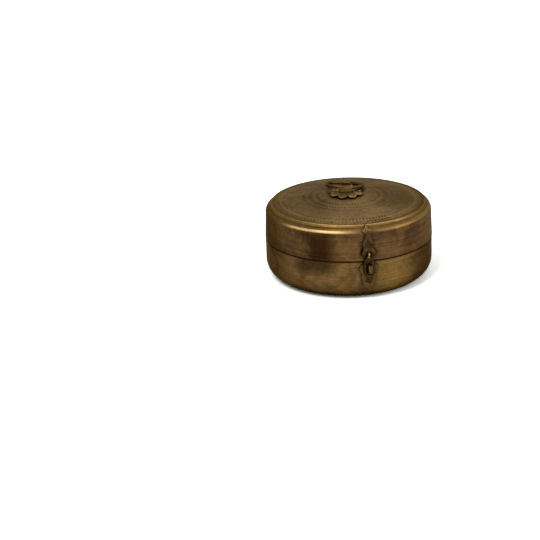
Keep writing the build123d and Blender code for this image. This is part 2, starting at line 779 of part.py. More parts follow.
def joined(shapes):
    """Separate solids kept in one node."""
    return Compound(children=[solid for shape in shapes for solid in shape.solids()])


lid_fasteners = [upper_rivet(), lower_rivet()]
lid_leaf_fasteners = leaf_rivets(lid_rivet, 1)
body_leaf_fasteners = leaf_rivets(body_rivet, -1)

nodes = {
    "body_shell": body_shell(),
    "body_collar": body_collar(),
    "lid_wall": lid_wall(),
    "lid_top_disc": lid_top_disc(),
    "lid_hasp_plate": lid_hasp_plate(),
    "lid_plate_rivet_upper": lid_fasteners[0].solid,
    "lid_plate_rivet_lower": lid_fasteners[1].solid,
    "lid_rivet_burrs": joined([rivet.burr for rivet in lid_fasteners + lid_leaf_fasteners]),
    "hasp": hasp(),
    "hasp_pin": hasp_pin(),
    "staple_plate": staple_plate(),
    "staple": staple(),
    "staple_plate_rivet": staple_rivet().solid,
    "body_rivet_burrs": joined([rivet.burr for rivet in [staple_rivet()] + body_leaf_fasteners]),
    "lid_hinge_leaf": lid_hinge_leaf(),
    "lid_hinge_rivets": joined([rivet.solid for rivet in lid_leaf_fasteners]),
    "body_hinge_leaf": body_hinge_leaf(),
    "body_hinge_rivets": joined([rivet.solid for rivet in body_leaf_fasteners]),
    "hinge_pin": hinge_pin(),
    "rosette": rosette(),
    "ring_strap": ring_strap(),
    "strap_washer": strap_washer(),
    "ring_handle": ring_handle(),
}

os.makedirs("parts", exist_ok=True)
for name, shape in nodes.items():
    export_step(shape, f"parts/{name}.step")
    print(name, "solids", len(shape.solids()), "volume", round(shape.volume, 1))
print("ring rests", round(ring_tilt, 2), "degrees below level; eye bore", round(eye_bore, 2))
print("ring axis", Plane(at_eye(Rot(0, 0, 0))).x_dir, "through", Plane(at_eye(Rot(0, 0, 0))).origin)
print("hinge axis at y", round(hinge_reach, 3), "z", seam_height, "hasp pin at y", -lid_pin_reach)
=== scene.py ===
import math

import bmesh
import bpy
import numpy as np
from mathutils import Matrix, Vector


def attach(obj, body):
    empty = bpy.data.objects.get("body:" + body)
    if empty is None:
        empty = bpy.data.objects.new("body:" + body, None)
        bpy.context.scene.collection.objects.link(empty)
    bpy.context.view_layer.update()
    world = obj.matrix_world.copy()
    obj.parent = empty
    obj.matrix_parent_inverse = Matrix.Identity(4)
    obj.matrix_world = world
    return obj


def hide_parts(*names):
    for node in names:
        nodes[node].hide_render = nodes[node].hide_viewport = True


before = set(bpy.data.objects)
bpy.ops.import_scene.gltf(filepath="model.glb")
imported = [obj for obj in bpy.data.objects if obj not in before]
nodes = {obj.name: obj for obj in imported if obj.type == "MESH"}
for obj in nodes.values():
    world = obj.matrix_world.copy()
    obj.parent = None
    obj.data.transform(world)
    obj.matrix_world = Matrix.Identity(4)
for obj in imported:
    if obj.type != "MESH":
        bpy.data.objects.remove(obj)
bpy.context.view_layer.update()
mm = 0.001
print("frame loaded:", len(nodes), "nodes")


# Camera: where the photograph was taken from
photoCamera = {
    "lens": 100.0,
    "sensor": 36.0,
    "pitch": 20.807,        # degrees, looking down
    "roll": 2.052,          # the picture leans anticlockwise
    "turn": 9.6,            # the hasp points this far to the camera's right
    "range": 2.0111,        # metres to the box
    "side": 0.10594,        # the box stands right of the line of sight
    "rise": -0.00448,
    "farClip": 20.0,
}


def placeCamera():
    c = photoCamera
    pitch, roll, turn = (math.radians(c[key]) for key in ("pitch", "roll", "turn"))
    back = Vector((0, math.cos(pitch), -math.sin(pitch)))      # the way the camera looks
    right = Vector((1, 0, 0))
    up = Vector((0, math.sin(pitch), math.cos(pitch)))
    spot = -c["side"] * right - c["rise"] * up - c["range"] * back
    leanRight = math.cos(roll) * right - math.sin(roll) * up
    leanUp = math.sin(roll) * right + math.cos(roll) * up
    axes = Matrix((leanRight, leanUp, -back)).transposed().to_4x4()
    spin = Matrix.Rotation(-turn, 4, "Z")
    data = bpy.data.cameras.new("photoCamera")
    data.lens = c["lens"]
    data.sensor_width = c["sensor"]
    data.clip_end = c["farClip"]
    camera = bpy.data.objects.new("photoCamera", data)
    camera.matrix_world = spin @ Matrix.Translation(spot) @ axes
    bpy.context.scene.collection.objects.link(camera)
    bpy.context.scene.camera = camera


# Nodes and colours. A Mix node has its factor at input 0, its two colours at 6 and 7, and its colour at output 2.
mixColours = {"data_type": "RGBA"}
multiplyColours = {"data_type": "RGBA", "blend_type": "MULTIPLY", 0: 1.0}


def srgb(code):             # sRGB hex to the linear colour that shaders use
    parts = [int(code[k:k + 2], 16) / 255 for k in (1, 3, 5)]
    return tuple(p / 12.92 if p <= 0.04045 else ((p + 0.055) / 1.055) ** 2.4 for p in parts) + (1.0,)


def addNode(tree, kind, settings=None, links=None):     # one node with its settings and links
    node = tree.nodes.new(kind)
    for key, value in (settings or {}).items():
        if isinstance(key, str) and hasattr(node, key):
            setattr(node, key, value)
        else:
            node.inputs[key].default_value = value
    for key, source in (links or {}).items():
        tree.links.new(source, node.inputs[key])
    return node


def newMaterial(name):
    material = bpy.data.materials.new(name)
    material.use_nodes = True
    material.node_tree.nodes.clear()
    return material, material.node_tree


# What all brass finishes share. The scales of noise are waves in a metre, unless a note says otherwise.
brassSkin = {
    "tint": "#b5aea6",          # colour of grazing reflections
    "roundLines": {"Scale": 0.8, "Detail": 4.0, "Roughness": 0.7},      # waves in a mm of radius
    "roundSpread": 1.2,         # how much they change once round the axis
    "levelStretch": (9.0, 9.0, 520.0),      # waves in a metre across and up
    "levelLines": {"Scale": 1.0, "Detail": 4.0, "Roughness": 0.75},
    "castGrain": {"Scale": 650.0, "Detail": 4.0, "Roughness": 0.6},
    "lineRange": {"From Min": 0.36, "From Max": 0.64},
    "lineShade": (-0.38, 0.25),             # darker and lighter, at a line depth of 1
    "lineSunk": 0.00006,                    # metres
    "lineBump": 0.5,                        # at a line depth of 1
    "patches": {"Detail": 6.0, "Roughness": 0.66, "Distortion": 0.4},
    "brownShare": {"From Min": 0.4, "From Max": 0.61},
    "clouds": {"Detail": 3.0, "Roughness": 0.5},
    "cloudSize": 1 / 0.48,                  # in patches
    "roseShare": {"From Min": 0.45, "From Max": 0.68},
    "spots": {"Scale": 190.0, "Detail": 3.0, "Roughness": 0.7},         # about 5 mm and finer
    "spotShade": {"From Min": 0.36, "From Max": 0.64, "To Min": 0.84, "To Max": 1.14},
    "front": 0.25,                          # the hasp's place round the box, in turns
    "wander": 0.04,                         # how far the side of a wide layer wanders, in turns
    "straightUnder": 8,                     # half width in degrees below which a layer's sides stay straight
    "markColour": "#2a1c0c",
    "markFaint": {"From Min": 0.36, "From Max": 0.6, "To Min": 0.2, "To Max": 1.0},
    "markDark": 0.85,
    "markSunk": -3.0,                       # in depths of a line
    "rounded": {"samples": 6, "Radius": 0.0007},        # metres
    "rubbed": {"From Min": 0.97, "From Max": 0.82, "To Max": 0.75},
    # ambient occlusion for the painted shade and dirt in corners and hollows
    "hollow": {"samples": 8},
    "dirtAndShadeColour": "#150c05",
    "dirtAndShade": {"From Min": 0.66, "From Max": 0.98, "To Max": 0.0},
    "gloss": {"From Min": 0.35, "From Max": 0.65},
    "glossSpread": (-0.06, 0.1),
}


# Where a point lies: distance from the box's axis, height and side in mm, and place round the box in turns
def addMeasures(tree, place):
    axes = addNode(tree, "ShaderNodeSeparateXYZ", {}, {0: place})
    flat = addNode(tree, "ShaderNodeCombineXYZ", {}, {0: axes.outputs[0], 1: axes.outputs[1]})
    distance = addNode(tree, "ShaderNodeVectorMath", {"operation": "LENGTH"}, {0: flat.outputs[0]})
    angle = addNode(tree, "ShaderNodeMath", {"operation": "ARCTAN2"}, {0: axes.outputs[1], 1: axes.outputs[0]})
    turn = addNode(tree, "ShaderNodeMath", {"operation": "MULTIPLY_ADD", 1: 0.5 / math.pi, 2: 0.5},
                   {0: angle.outputs[0]})
    measures = {"flat": flat.outputs[0], "turn": turn.outputs[0]}
    inMetres = {"radius": distance.outputs["Value"], "height": axes.outputs[2], "side": axes.outputs[0]}
    for measure, metres in inMetres.items():
        scaled = addNode(tree, "ShaderNodeMath", {"operation": "MULTIPLY", 1: 1 / mm}, {0: metres})
        measures[measure] = scaled.outputs[0]
    return measures


# Tool marks of one of three kinds. Real turning lines are finer: these are as coarse as they need to be to show.
def addLines(tree, kind, place, measures):
    k = brassSkin
    if kind == "round":         # they run round the axis, about 1.2 mm apart and finer
        heading = addNode(tree, "ShaderNodeVectorMath", {"operation": "NORMALIZE"}, {0: measures["flat"]})
        spread = addNode(tree, "ShaderNodeVectorMath", {"operation": "SCALE", "Scale": k["roundSpread"]},
                         {0: heading.outputs[0]})
        ring = addNode(tree, "ShaderNodeCombineXYZ", {}, {2: measures["radius"]})
        grain = addNode(tree, "ShaderNodeVectorMath", {"operation": "ADD"},
                        {0: spread.outputs[0], 1: ring.outputs[0]})
        return addNode(tree, "ShaderNodeTexNoise", k["roundLines"], {"Vector": grain.outputs[0]})
    if kind == "level":         # they lie level, about 2 mm apart and finer, and fade in and out along the wall
        stretch = addNode(tree, "ShaderNodeMapping", {"Scale": k["levelStretch"]}, {"Vector": place})
        return addNode(tree, "ShaderNodeTexNoise", k["levelLines"], {"Vector": stretch.outputs[0]})
    return addNode(tree, "ShaderNodeTexNoise", k["castGrain"], {"Vector": place})   # cast skin, grains of 1.5 mm


# A smooth band of a value: its full strength over the core, and nothing past its reach
bandCore = 0.25             # share of the reach


def addBand(tree, value, middle, reach, strength=1.0):
    away = addNode(tree, "ShaderNodeMath", {"operation": "SUBTRACT", 1: middle}, {0: value})
    distance = addNode(tree, "ShaderNodeMath", {"operation": "ABSOLUTE"}, {0: away.outputs[0]})
    band = addNode(tree, "ShaderNodeMapRange",
                   {"interpolation_type": "SMOOTHSTEP", "From Min": reach * bandCore, "From Max": reach,
                    "To Min": strength, "To Max": 0.0}, {"Value": distance.outputs[0]})
    return band.outputs[0]


# A layer of another colour: a band along one measure, and one round the box unless it goes all round
def addLayer(tree, colour, measures, wander, layer):
    k = brassSkin
    measure, middle, reach, azimuth, halfWidth, strength, code = layer
    share = addBand(tree, measures[measure], middle, reach, strength)
    if halfWidth < 180:
        straight = halfWidth < k["straightUnder"]
        start = azimuth / 360 + k["front"] + (0 if straight else k["wander"] / 2)
        away = addNode(tree, "ShaderNodeMath", {"operation": "SUBTRACT", 1: start},
                       {0: measures["turn"] if straight else wander})
        nearest = addNode(tree, "ShaderNodeMath", {"operation": "WRAP", 1: 0.5, 2: -0.5}, {0: away.outputs[0]})
        across = addBand(tree, nearest.outputs[0], 0.0, halfWidth / 360)
        share = addNode(tree, "ShaderNodeMath", {"operation": "MULTIPLY"}, {0: share, 1: across}).outputs[0]
    painted = addNode(tree, "ShaderNodeMix", {**mixColours, 7: srgb(code)}, {0: share, 6: colour})
    return painted.outputs[2]


# Punched marks stand in rows round the dome. A mark shows where the turn round the row, counted in marks and
# slanted by the distance from the row's middle, is near a whole number, and where the radius is near the row's.
markForm = {
    "core": 0.5,                # share of a mark's half width that is fully dark
    "ends": (0.35, 0.5),        # it fades between these shares of its length, from its middle
}


def addMarkRow(tree, radius, turn, row):
    s = markForm
    count, middle, length, slant, halfWidth = row
    away = addNode(tree, "ShaderNodeMath", {"operation": "SUBTRACT", 1: middle}, {0: radius})
    step = addNode(tree, "ShaderNodeMath", {"operation": "MULTIPLY", 1: float(count)}, {0: turn})
    slanted = addNode(tree, "ShaderNodeMath", {"operation": "MULTIPLY_ADD", 1: slant},
                      {0: away.outputs[0], 2: step.outputs[0]})
    near = addNode(tree, "ShaderNodeMath", {"operation": "PINGPONG", 1: 0.5}, {0: slanted.outputs[0]})
    mark = addNode(tree, "ShaderNodeMapRange",
                   {"interpolation_type": "SMOOTHSTEP", "From Min": halfWidth * s["core"],
                    "From Max": halfWidth, "To Min": 1.0, "To Max": 0.0}, {"Value": near.outputs[0]})
    distance = addNode(tree, "ShaderNodeMath", {"operation": "ABSOLUTE"}, {0: away.outputs[0]})
    band = addNode(tree, "ShaderNodeMapRange",
                   {"From Min": length * s["ends"][0], "From Max": length * s["ends"][1], "To Min": 1.0,
                    "To Max": 0.0}, {"Value": distance.outputs[0]})
    shown = addNode(tree, "ShaderNodeMath", {"operation": "MULTIPLY"}, {0: mark.outputs[0], 1: band.outputs[0]})
    return shown.outputs[0]


# Aged brass: sheet brass spun or beaten, then left to tarnish. Rubbed places are gold, other patches brown
# and dull, and the turning tool has left fine lines. Painted shade and dirt together darken corners and hollows,
# and several layers are painted light: highlights, sheen, reflections and shade. One dictionary for each finish,
# with patchSize in mm and shelter, the reach of the painted shade and dirt, in metres. A layer is a soft band of
# another colour: what it is measured by, its middle and reach in mm, its turn from the hasp and half width in
# degrees (180 or more goes all round), its strength and its colour.
brassFinishes = {
    "spunBrassBody": {      # gold and even, with fine level lines and painted shade at its foot
        "gold": "#82643a", "brown": "#594226", "rose": "#6b4d36", "roseShare": 0.3, "lines": "level",
        "lineDepth": 0.6, "roughness": 0.40, "patchSize": 34.0, "grimeAndShade": 0.85, "shelter": 0.006,
        "layers": (
            # painted highlight on the body right of the hasp; painted shade, nearly black, along the seam
            ("height", 30, 60, 22, 22, 0.65, "#96773f"), ("height", 53.2, 2.0, 0, 360, 0.95, "#140b04"),
            # painted shade at the foot; a painted dark reflection left of the hasp
            ("height", -4.0, 22.0, 0, 360, 0.85, "#241705"), ("height", 52, 26, -35, 18, 0.75, "#2c1a06"),
            # painted shade on the left side and on the right side
            ("height", 30, 80, -88, 60, 0.5, "#392d22"), ("height", 30, 80, 64, 56, 0.75, "#42341f"),
        ),
    },
    "spunBrassLidWall": {   # warmer and browner than the body, with a gold band round the shoulder and painted highlights on it
        "gold": "#755733", "brown": "#4e3822", "rose": "#664738", "roseShare": 0.4, "lines": "level",
        "lineDepth": 0.85, "roughness": 0.38, "patchSize": 30.0, "grimeAndShade": 0.85, "shelter": 0.006,
        "layers": (
            # painted shade, nearly black, along the seam; a gold band round the shoulder
            ("height", 53.2, 1.6, 0, 360, 0.95, "#140b04"), ("height", 94.6, 5.0, 0, 360, 0.85, "#75592f"),
            # a painted dark reflection left of the hasp; painted shade further left
            ("height", 70, 40, -33, 14, 0.88, "#311b03"), ("height", 70, 70, -80, 62, 0.42, "#32281d"),
            # a painted lighter sheen on the right side; painted highlights on the shoulder, left and right of the
            # hasp
            ("height", 70, 80, 66, 30, 0.7, "#7c664a"), ("height", 91.6, 2.2, -36, 34, 0.95, "#d2af74"),
            ("height", 92.0, 2.0, 26, 30, 0.25, "#9c7c48"),
        ),
    },
    "engravedBrassTop": {   # olive and dull, with round turning lines, rows of punched marks, and painted light and shade
        "gold": "#88704b", "brown": "#68533a", "rose": "#725b4a", "roseShare": 0.35, "lines": "round",
        "lineDepth": 0.35, "roughness": 0.48, "patchSize": 55.0, "grimeAndShade": 0.75, "shelter": 0.006,
        "layers": (
            # painted sheen towards the front; painted shade towards the back
            ("radius", 60, 60, 0, 70, 0.35, "#9a8058"), ("radius", 60, 90, 180, 110, 0.35, "#5a4f3e"),
            # painted shade on the left and on the right
            ("radius", 80, 60, -72, 60, 0.42, "#4a3c2b"), ("radius", 80, 60, 72, 64, 0.62, "#463a2a"),
            ("radius", 89.0, 7.5, 0, 360, 0.4, "#947a4e"),
            ("radius", 97.4, 3.0, 0, 360, 0.5, "#57431f"), ("radius", 100.9, 1.1, 0, 360, 0.85, "#7f6639"),
            # the first band here is a painted highlight on the crest in front
            ("radius", 100.9, 1.1, -10, 58, 0.85, "#c09a5e"), ("radius", 103.2, 2.1, 0, 360, 0.9, "#74592b"),
        ),
        "rows": (           # marks in a row, radius, length, slant in marks per mm, half width in marks
            (68, 40.4, 4.6, 0.07, 0.31), (80, 50.2, 6.0, -0.06, 0.31), (128, 58.4, 2.0, 0.0, 0.34),
            (124, 85.6, 4.8, 0.09, 0.33), (124, 92.0, 5.0, -0.09, 0.33),
        ),
    },
    "rubbedBrassRosette": {  # olive cast brass that hands have kept half bright
        "gold": "#8b7449", "brown": "#614e2f", "rose": "#6a5237", "roseShare": 0.25, "lines": "none",
        "lineDepth": 0.4, "roughness": 0.42, "patchSize": 12.0, "grimeAndShade": 0.95, "shelter": 0.002,
        "wear": "#9a7f55",
    },
    "rubbedBrassStrap": {   # the same, with painted shade over the top of its bend between the rubbed borders
        "gold": "#74603a", "brown": "#4d3c22", "rose": "#624a34", "roseShare": 0.3, "lines": "none",
        "lineDepth": 0.4, "roughness": 0.46, "patchSize": 8.0, "grimeAndShade": 0.85, "shelter": 0.0013,
        "wear": "#8d6f48",
        "layers": (
            # the second band is painted shade, nearly black, over the top of the bend
            ("height", 115.6, 4.6, 0, 360, 0.75, "#907748"), ("height", 122.8, 3.6, 0, 360, 0.95, "#1a1008"),
            ("side", -10.0, 2.0, 0, 360, 0.5, "#66502f"), ("side", 4.1, 2.0, 0, 360, 0.6, "#5d482b"),
        ),
    },
    "darkBrassRing": {      # brown where it hangs, lighter where it is gripped
        "gold": "#635030", "brown": "#3a2a17", "rose": "#4a3722", "roseShare": 0.25, "lines": "none",
        "lineDepth": 0.4, "roughness": 0.46, "patchSize": 11.0, "grimeAndShade": 0.85, "shelter": 0.0013,
        "wear": "#7f6a40",
    },
    "darkBrassPlates": {    # nearly black-brown skin of the plates
        "gold": "#5a4527", "brown": "#3d2d18", "rose": "#4a3424", "roseShare": 0.3, "lines": "none",
        "lineDepth": 0.4, "roughness": 0.4, "patchSize": 9.0, "grimeAndShade": 0.9, "shelter": 0.0025,
        "layers": (
            ("height", 98.5, 9.0, 0, 360, 0.95, "#957a47"), ("height", 27.0, 34.0, 0, 360, 0.55, "#71532b"),
            # painted shade, nearly black, in the slot round the hasp's tongue and in the staple's slot
            ("height", 64.0, 5.5, 0, 4.0, 0.97, "#0b0603"), ("height", 43.0, 10.0, -1.4, 1.8, 0.95, "#0b0603"),
        ),
    },
    "darkBrassHasp": {      # the same skin, with a painted highlight down the tongue and painted shade beside it
        "gold": "#4f3b20", "brown": "#362612", "rose": "#422e1d", "roseShare": 0.3, "lines": "none",
        "lineDepth": 0.4, "roughness": 0.4, "patchSize": 9.0, "grimeAndShade": 0.9, "shelter": 0.002,
        "wear": "#7f6840",
        "layers": (
            # painted shade beside the tongue, and a painted highlight down it
            ("height", 63.6, 5.5, 0, 7, 0.8, "#1c1208"), ("height", 62.4, 4.6, 0, 0.75, 0.95, "#cdab64"),
        ),
    },
    "rubbedBrassStaple": {  # rubbed by the hasp and the lock
        "gold": "#77623b", "brown": "#403018", "rose": "#584328", "roseShare": 0.25, "lines": "none",
        "lineDepth": 0.6, "roughness": 0.38, "patchSize": 4.0, "grimeAndShade": 0.9, "shelter": 0.0015,
        "wear": "#8f7848",
    },
    "dullBrassInside": {    # the inside, never rubbed
        "gold": "#8c7344", "brown": "#6d5533", "rose": "#75573b", "roseShare": 0.35, "lines": "level",
        "lineDepth": 0.4, "roughness": 0.5, "patchSize": 45.0, "grimeAndShade": 0.6, "shelter": 0.0045,
    },
}


def agedBrass(name):
    s = brassFinishes[name]
    k = brassSkin
    material, tree = newMaterial(name)
    place = addNode(tree, "ShaderNodeTexCoord").outputs["Object"]
    measures = addMeasures(tree, place)
    lines = addLines(tree, s["lines"], place, measures)
    patches = addNode(tree, "ShaderNodeTexNoise", {"Scale": 1 / (s["patchSize"] * mm), **k["patches"]},
                      {"Vector": place})
    clouds = addNode(tree, "ShaderNodeTexNoise",
                     {"Scale": 1 / (s["patchSize"] * mm * k["cloudSize"]), **k["clouds"]}, {"Vector": place})
    spots = addNode(tree, "ShaderNodeTexNoise", k["spots"], {"Vector": place})

    # patches go from gold to brown, clouds are rosy, and then come the layers
    worn = addNode(tree, "ShaderNodeMapRange", k["brownShare"], {"Value": patches.outputs[0]})
    rosy = addNode(tree, "ShaderNodeMapRange", {**k["roseShare"], "To Max": s["roseShare"]},
                   {"Value": clouds.outputs[0]})
    colour = addNode(tree, "ShaderNodeMix", {**mixColours, 6: srgb(s["gold"]), 7: srgb(s["brown"])},
                     {0: worn.outputs[0]}).outputs[2]
    colour = addNode(tree, "ShaderNodeMix", {**mixColours, 7: srgb(s["rose"])},
                     {0: rosy.outputs[0], 6: colour}).outputs[2]
    wander = addNode(tree, "ShaderNodeMath", {"operation": "MULTIPLY_ADD", 1: k["wander"]},
                     {0: patches.outputs[0], 2: measures["turn"]})
    for layer in s.get("layers", ()):
        colour = addLayer(tree, colour, measures, wander.outputs[0], layer)

    # the lines and the spots darken and lighten it
    darker, lighter = (1.0 + change * s["lineDepth"] for change in k["lineShade"])
    shade = addNode(tree, "ShaderNodeMapRange", {**k["lineRange"], "To Min": darker, "To Max": lighter},
                    {"Value": lines.outputs[0]})
    spotted = addNode(tree, "ShaderNodeMapRange", k["spotShade"], {"Value": spots.outputs[0]})
    for change in (shade, spotted):
        colour = addNode(tree, "ShaderNodeMix", multiplyColours, {6: colour, 7: change.outputs[0]}).outputs[2]

    relief = lines.outputs[0]
    if "rows" in s:             # punched marks: dark and sunk, and fainter where the disc is rubbed gold
        shown = [addMarkRow(tree, measures["radius"], measures["turn"], row) for row in s["rows"]]
        marks = shown[0]
        for mark in shown[1:]:
            marks = addNode(tree, "ShaderNodeMath", {"operation": "MAXIMUM"}, {0: marks, 1: mark}).outputs[0]
        faint = addNode(tree, "ShaderNodeMapRange", k["markFaint"], {"Value": patches.outputs[0]})
        marks = addNode(tree, "ShaderNodeMath", {"operation": "MULTIPLY"}, {0: marks, 1: faint.outputs[0]})
        dark = addNode(tree, "ShaderNodeMath", {"operation": "MULTIPLY", 1: k["markDark"]},
                       {0: marks.outputs[0]})
        colour = addNode(tree, "ShaderNodeMix", {**mixColours, 7: srgb(k["markColour"])},
                         {0: dark.outputs[0], 6: colour}).outputs[2]
        relief = addNode(tree, "ShaderNodeMath", {"operation": "MULTIPLY_ADD", 1: k["markSunk"]},
                         {0: marks.outputs[0], 2: relief}).outputs[0]
    if "wear" in s:             # edges rubbed bright, found where a rounded normal leaves the surface's own
        rounded = addNode(tree, "ShaderNodeBevel", k["rounded"])
        own = addNode(tree, "ShaderNodeNewGeometry").outputs["Normal"]
        alike = addNode(tree, "ShaderNodeVectorMath", {"operation": "DOT_PRODUCT"},
                        {0: rounded.outputs[0], 1: own})
        rubbed = addNode(tree, "ShaderNodeMapRange", k["rubbed"], {"Value": alike.outputs["Value"]})
        colour = addNode(tree, "ShaderNodeMix", {**mixColours, 7: srgb(s["wear"])},
                         {0: rubbed.outputs[0], 6: colour}).outputs[2]

    # painted shade and dirt together: corners and hollows, found by ambient occlusion, are darkened
    hollow = addNode(tree, "ShaderNodeAmbientOcclusion", {**k["hollow"], "Distance": s["shelter"]})
    dirtAndShade = addNode(tree, "ShaderNodeMapRange", {**k["dirtAndShade"], "To Min": s["grimeAndShade"]},
                   {"Value": hollow.outputs["AO"]})
    colour = addNode(tree, "ShaderNodeMix", {**mixColours, 7: srgb(k["dirtAndShadeColour"])},
                     {0: dirtAndShade.outputs[0], 6: colour}).outputs[2]
    smooth, rough = (s["roughness"] + change for change in k["glossSpread"])
    gloss = addNode(tree, "ShaderNodeMapRange", {**k["gloss"], "To Min": smooth, "To Max": rough},
                    {"Value": patches.outputs[0]})
    strength = k["lineBump"] * s["lineDepth"]
    bump = addNode(tree, "ShaderNodeBump", {"Strength": strength, "Distance": k["lineSunk"]}, {"Height": relief})
    shader = addNode(tree, "ShaderNodeBsdfPrincipled", {"Metallic": 1.0, "Specular Tint": srgb(k["tint"])},
                     {"Base Color": colour, "Roughness": gloss.outputs[0], "Normal": bump.outputs[0]})
    addNode(tree, "ShaderNodeOutputMaterial", {}, {"Surface": shader.outputs["BSDF"]})
    return material


# Rivet copper: hammered cold, pink where it is rubbed and nearly black where it isn't. Blows are about 1.4 mm.
copperFinishes = {
    "hammeredCopper": {"bright": "#8a5a42", "dark": "#573521", "roughness": 0.38},
    "tarnishedCopper": {"bright": "#523623", "dark": "#372314", "roughness": 0.5},
}
copperSkin = {
    "tint": "#c0aba0",
    "blows": {"Scale": 700.0, "Detail": 3.0, "Roughness": 0.55},
    "darkShare": {"From Min": 0.38, "From Max": 0.62},
    # ambient occlusion for the painted shade and dirt round the heads and in hollows
    "hollow": {"samples": 8, "Distance": 0.002},
    "dirtAndShadeColour": "#1c100a",
    "dirtAndShade": {"From Min": 0.3, "From Max": 0.9, "To Min": 0.8, "To Max": 0.0},
    "bump": {"Strength": 0.5, "Distance": 0.0002},
}


def rivetCopper(name):
    s = copperFinishes[name]
    k = copperSkin
    material, tree = newMaterial(name)
    place = addNode(tree, "ShaderNodeTexCoord").outputs["Object"]
    blows = addNode(tree, "ShaderNodeTexNoise", k["blows"], {"Vector": place})
    share = addNode(tree, "ShaderNodeMapRange", k["darkShare"], {"Value": blows.outputs[0]})
    colour = addNode(tree, "ShaderNodeMix", {**mixColours, 6: srgb(s["bright"]), 7: srgb(s["dark"])},
                     {0: share.outputs[0]}).outputs[2]
    # painted shade and dirt together: hollows found by ambient occlusion are darkened
    hollow = addNode(tree, "ShaderNodeAmbientOcclusion", k["hollow"])
    dirtAndShade = addNode(tree, "ShaderNodeMapRange", k["dirtAndShade"], {"Value": hollow.outputs["AO"]})
    colour = addNode(tree, "ShaderNodeMix", {**mixColours, 7: srgb(k["dirtAndShadeColour"])},
                     {0: dirtAndShade.outputs[0], 6: colour}).outputs[2]
    bump = addNode(tree, "ShaderNodeBump", k["bump"], {"Height": blows.outputs[0]})
    shader = addNode(tree, "ShaderNodeBsdfPrincipled",
                     {"Metallic": 1.0, "Roughness": s["roughness"], "Specular Tint": srgb(k["tint"])},
                     {"Base Color": colour, "Normal": bump.outputs[0]})
    addNode(tree, "ShaderNodeOutputMaterial", {}, {"Surface": shader.outputs["BSDF"]})
    return material


finishes = {name: agedBrass(name) for name in brassFinishes}
finishes.update({name: rivetCopper(name) for name in copperFinishes})
print("finishes made:", len(finishes))


# Surfaces
samePoint = 1e-6            # metres: points nearer than this are one
sharpEdge = 40.0            # degrees
gap = 0.5                   # mm left between one stretch of a profile and the next


def settle(name, mesh, body, stands):     # a finished mesh becomes a piece in place of CAD nodes
    piece = bpy.data.objects.new(name, mesh)
    bpy.context.scene.collection.objects.link(piece)
    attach(piece, body)
    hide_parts(*stands)
    return piece


# A grid is an array of points (rows, columns, xyz) in millimetres, and says which of its two directions joins its
# last line to its first. Its faces join each point to the next row and the next column. Faces in the columns from
# the first value of inside up to the second get the inside's finish.
def addPiece(name, grids, finish, body, stands, inside=(0, 0)):
    points = []
    faces = []
    within = []
    first = 0
    for grid, closedRows, closedColumns in grids:
        rows, columns = grid.shape[:2]
        r, c = np.meshgrid(np.arange(rows if closedRows else rows - 1),
                           np.arange(columns if closedColumns else columns - 1), indexing="ij")
        nextR = (r + 1) % rows
        nextC = (c + 1) % columns
        corners = (r * columns + c, nextR * columns + c, nextR * columns + nextC, r * columns + nextC)
        faces.append(np.stack(corners, -1).reshape(-1, 4) + first)
        within.append(((c >= inside[0]) & (c < inside[1])).reshape(-1))
        points.append(grid.reshape(-1, 3) * mm)
        first += rows * columns
    mesh = bpy.data.meshes.new(name)
    mesh.from_pydata(np.concatenate(points).tolist(), [], np.concatenate(faces).tolist())
    mesh.materials.append(finishes[finish])
    if inside[1]:
        mesh.materials.append(finishes["dullBrassInside"])
        mesh.polygons.foreach_set("material_index", np.concatenate(within).astype(np.int32))
    edit = bmesh.new()
    edit.from_mesh(mesh)
    bmesh.ops.remove_doubles(edit, verts=edit.verts, dist=samePoint)
    bmesh.ops.recalc_face_normals(edit, faces=edit.faces)
    edit.to_mesh(mesh)
    edit.free()
    mesh.shade_smooth()
    mesh.set_sharp_from_angle(angle=math.radians(sharpEdge))
    settle(name, mesh, body, stands)


def line(start, end, count):        # points from start to end, the end left out
    share = np.linspace(0, 1, count, endpoint=False)[:, None]
    return np.array(start) + share * (np.array(end) - np.array(start))


def arc(middle, radius, first, last, count):        # points on a circle from one angle to another, in degrees
    angle = np.radians(np.linspace(first, last, count))
    return np.array(middle) + radius * np.stack([np.cos(angle), np.sin(angle)], -1)


def around(count):                  # angles once round
    return np.linspace(0, 2 * math.pi, count, endpoint=False)


def partWay(distance, length):      # 0 up to a start, 1 past a length, and even between
    return np.clip(distance / length, 0, 1)


# Smooth unevenness between 0 and 1: products of sines, a whole number of waves round and any number along
def ripples(turn, along, seed, count=9, most=7):
    rng = np.random.default_rng(seed)
    total = 0
    for wave in range(count):
        turns = rng.integers(1, most)
        pitch = rng.uniform(0.3, 1.6)
        start = rng.uniform(0, 2 * math.pi, 2)
        total = total + np.sin(turns * turn + start[0]) * np.sin(pitch * along + start[1])
    return 0.5 + 0.5 * np.tanh(total / math.sqrt(count))


# A profile of (radius, height) points carried round Z: x = radius sin(angle), y = -radius cos(angle)
def turned(profile, steps):
    angle = around(steps)[:, None]
    radius = np.broadcast_to(profile[None, :, 0], (steps, len(profile)))
    height = np.broadcast_to(profile[None, :, 1], (steps, len(profile)))
    return np.stack([radius * np.sin(angle), -radius * np.cos(angle), height], -1), angle


def pushIn(grid, angle, give):      # points moved towards the axis
    grid[..., 0] -= give * np.sin(angle)
    grid[..., 1] += give * np.cos(angle)


def placed(grid, frameMatrix):      # a grid moved by a 4 x 4 matrix
    matrix = np.array(frameMatrix)
    return grid @ matrix[:3, :3].T + matrix[:3, 3]


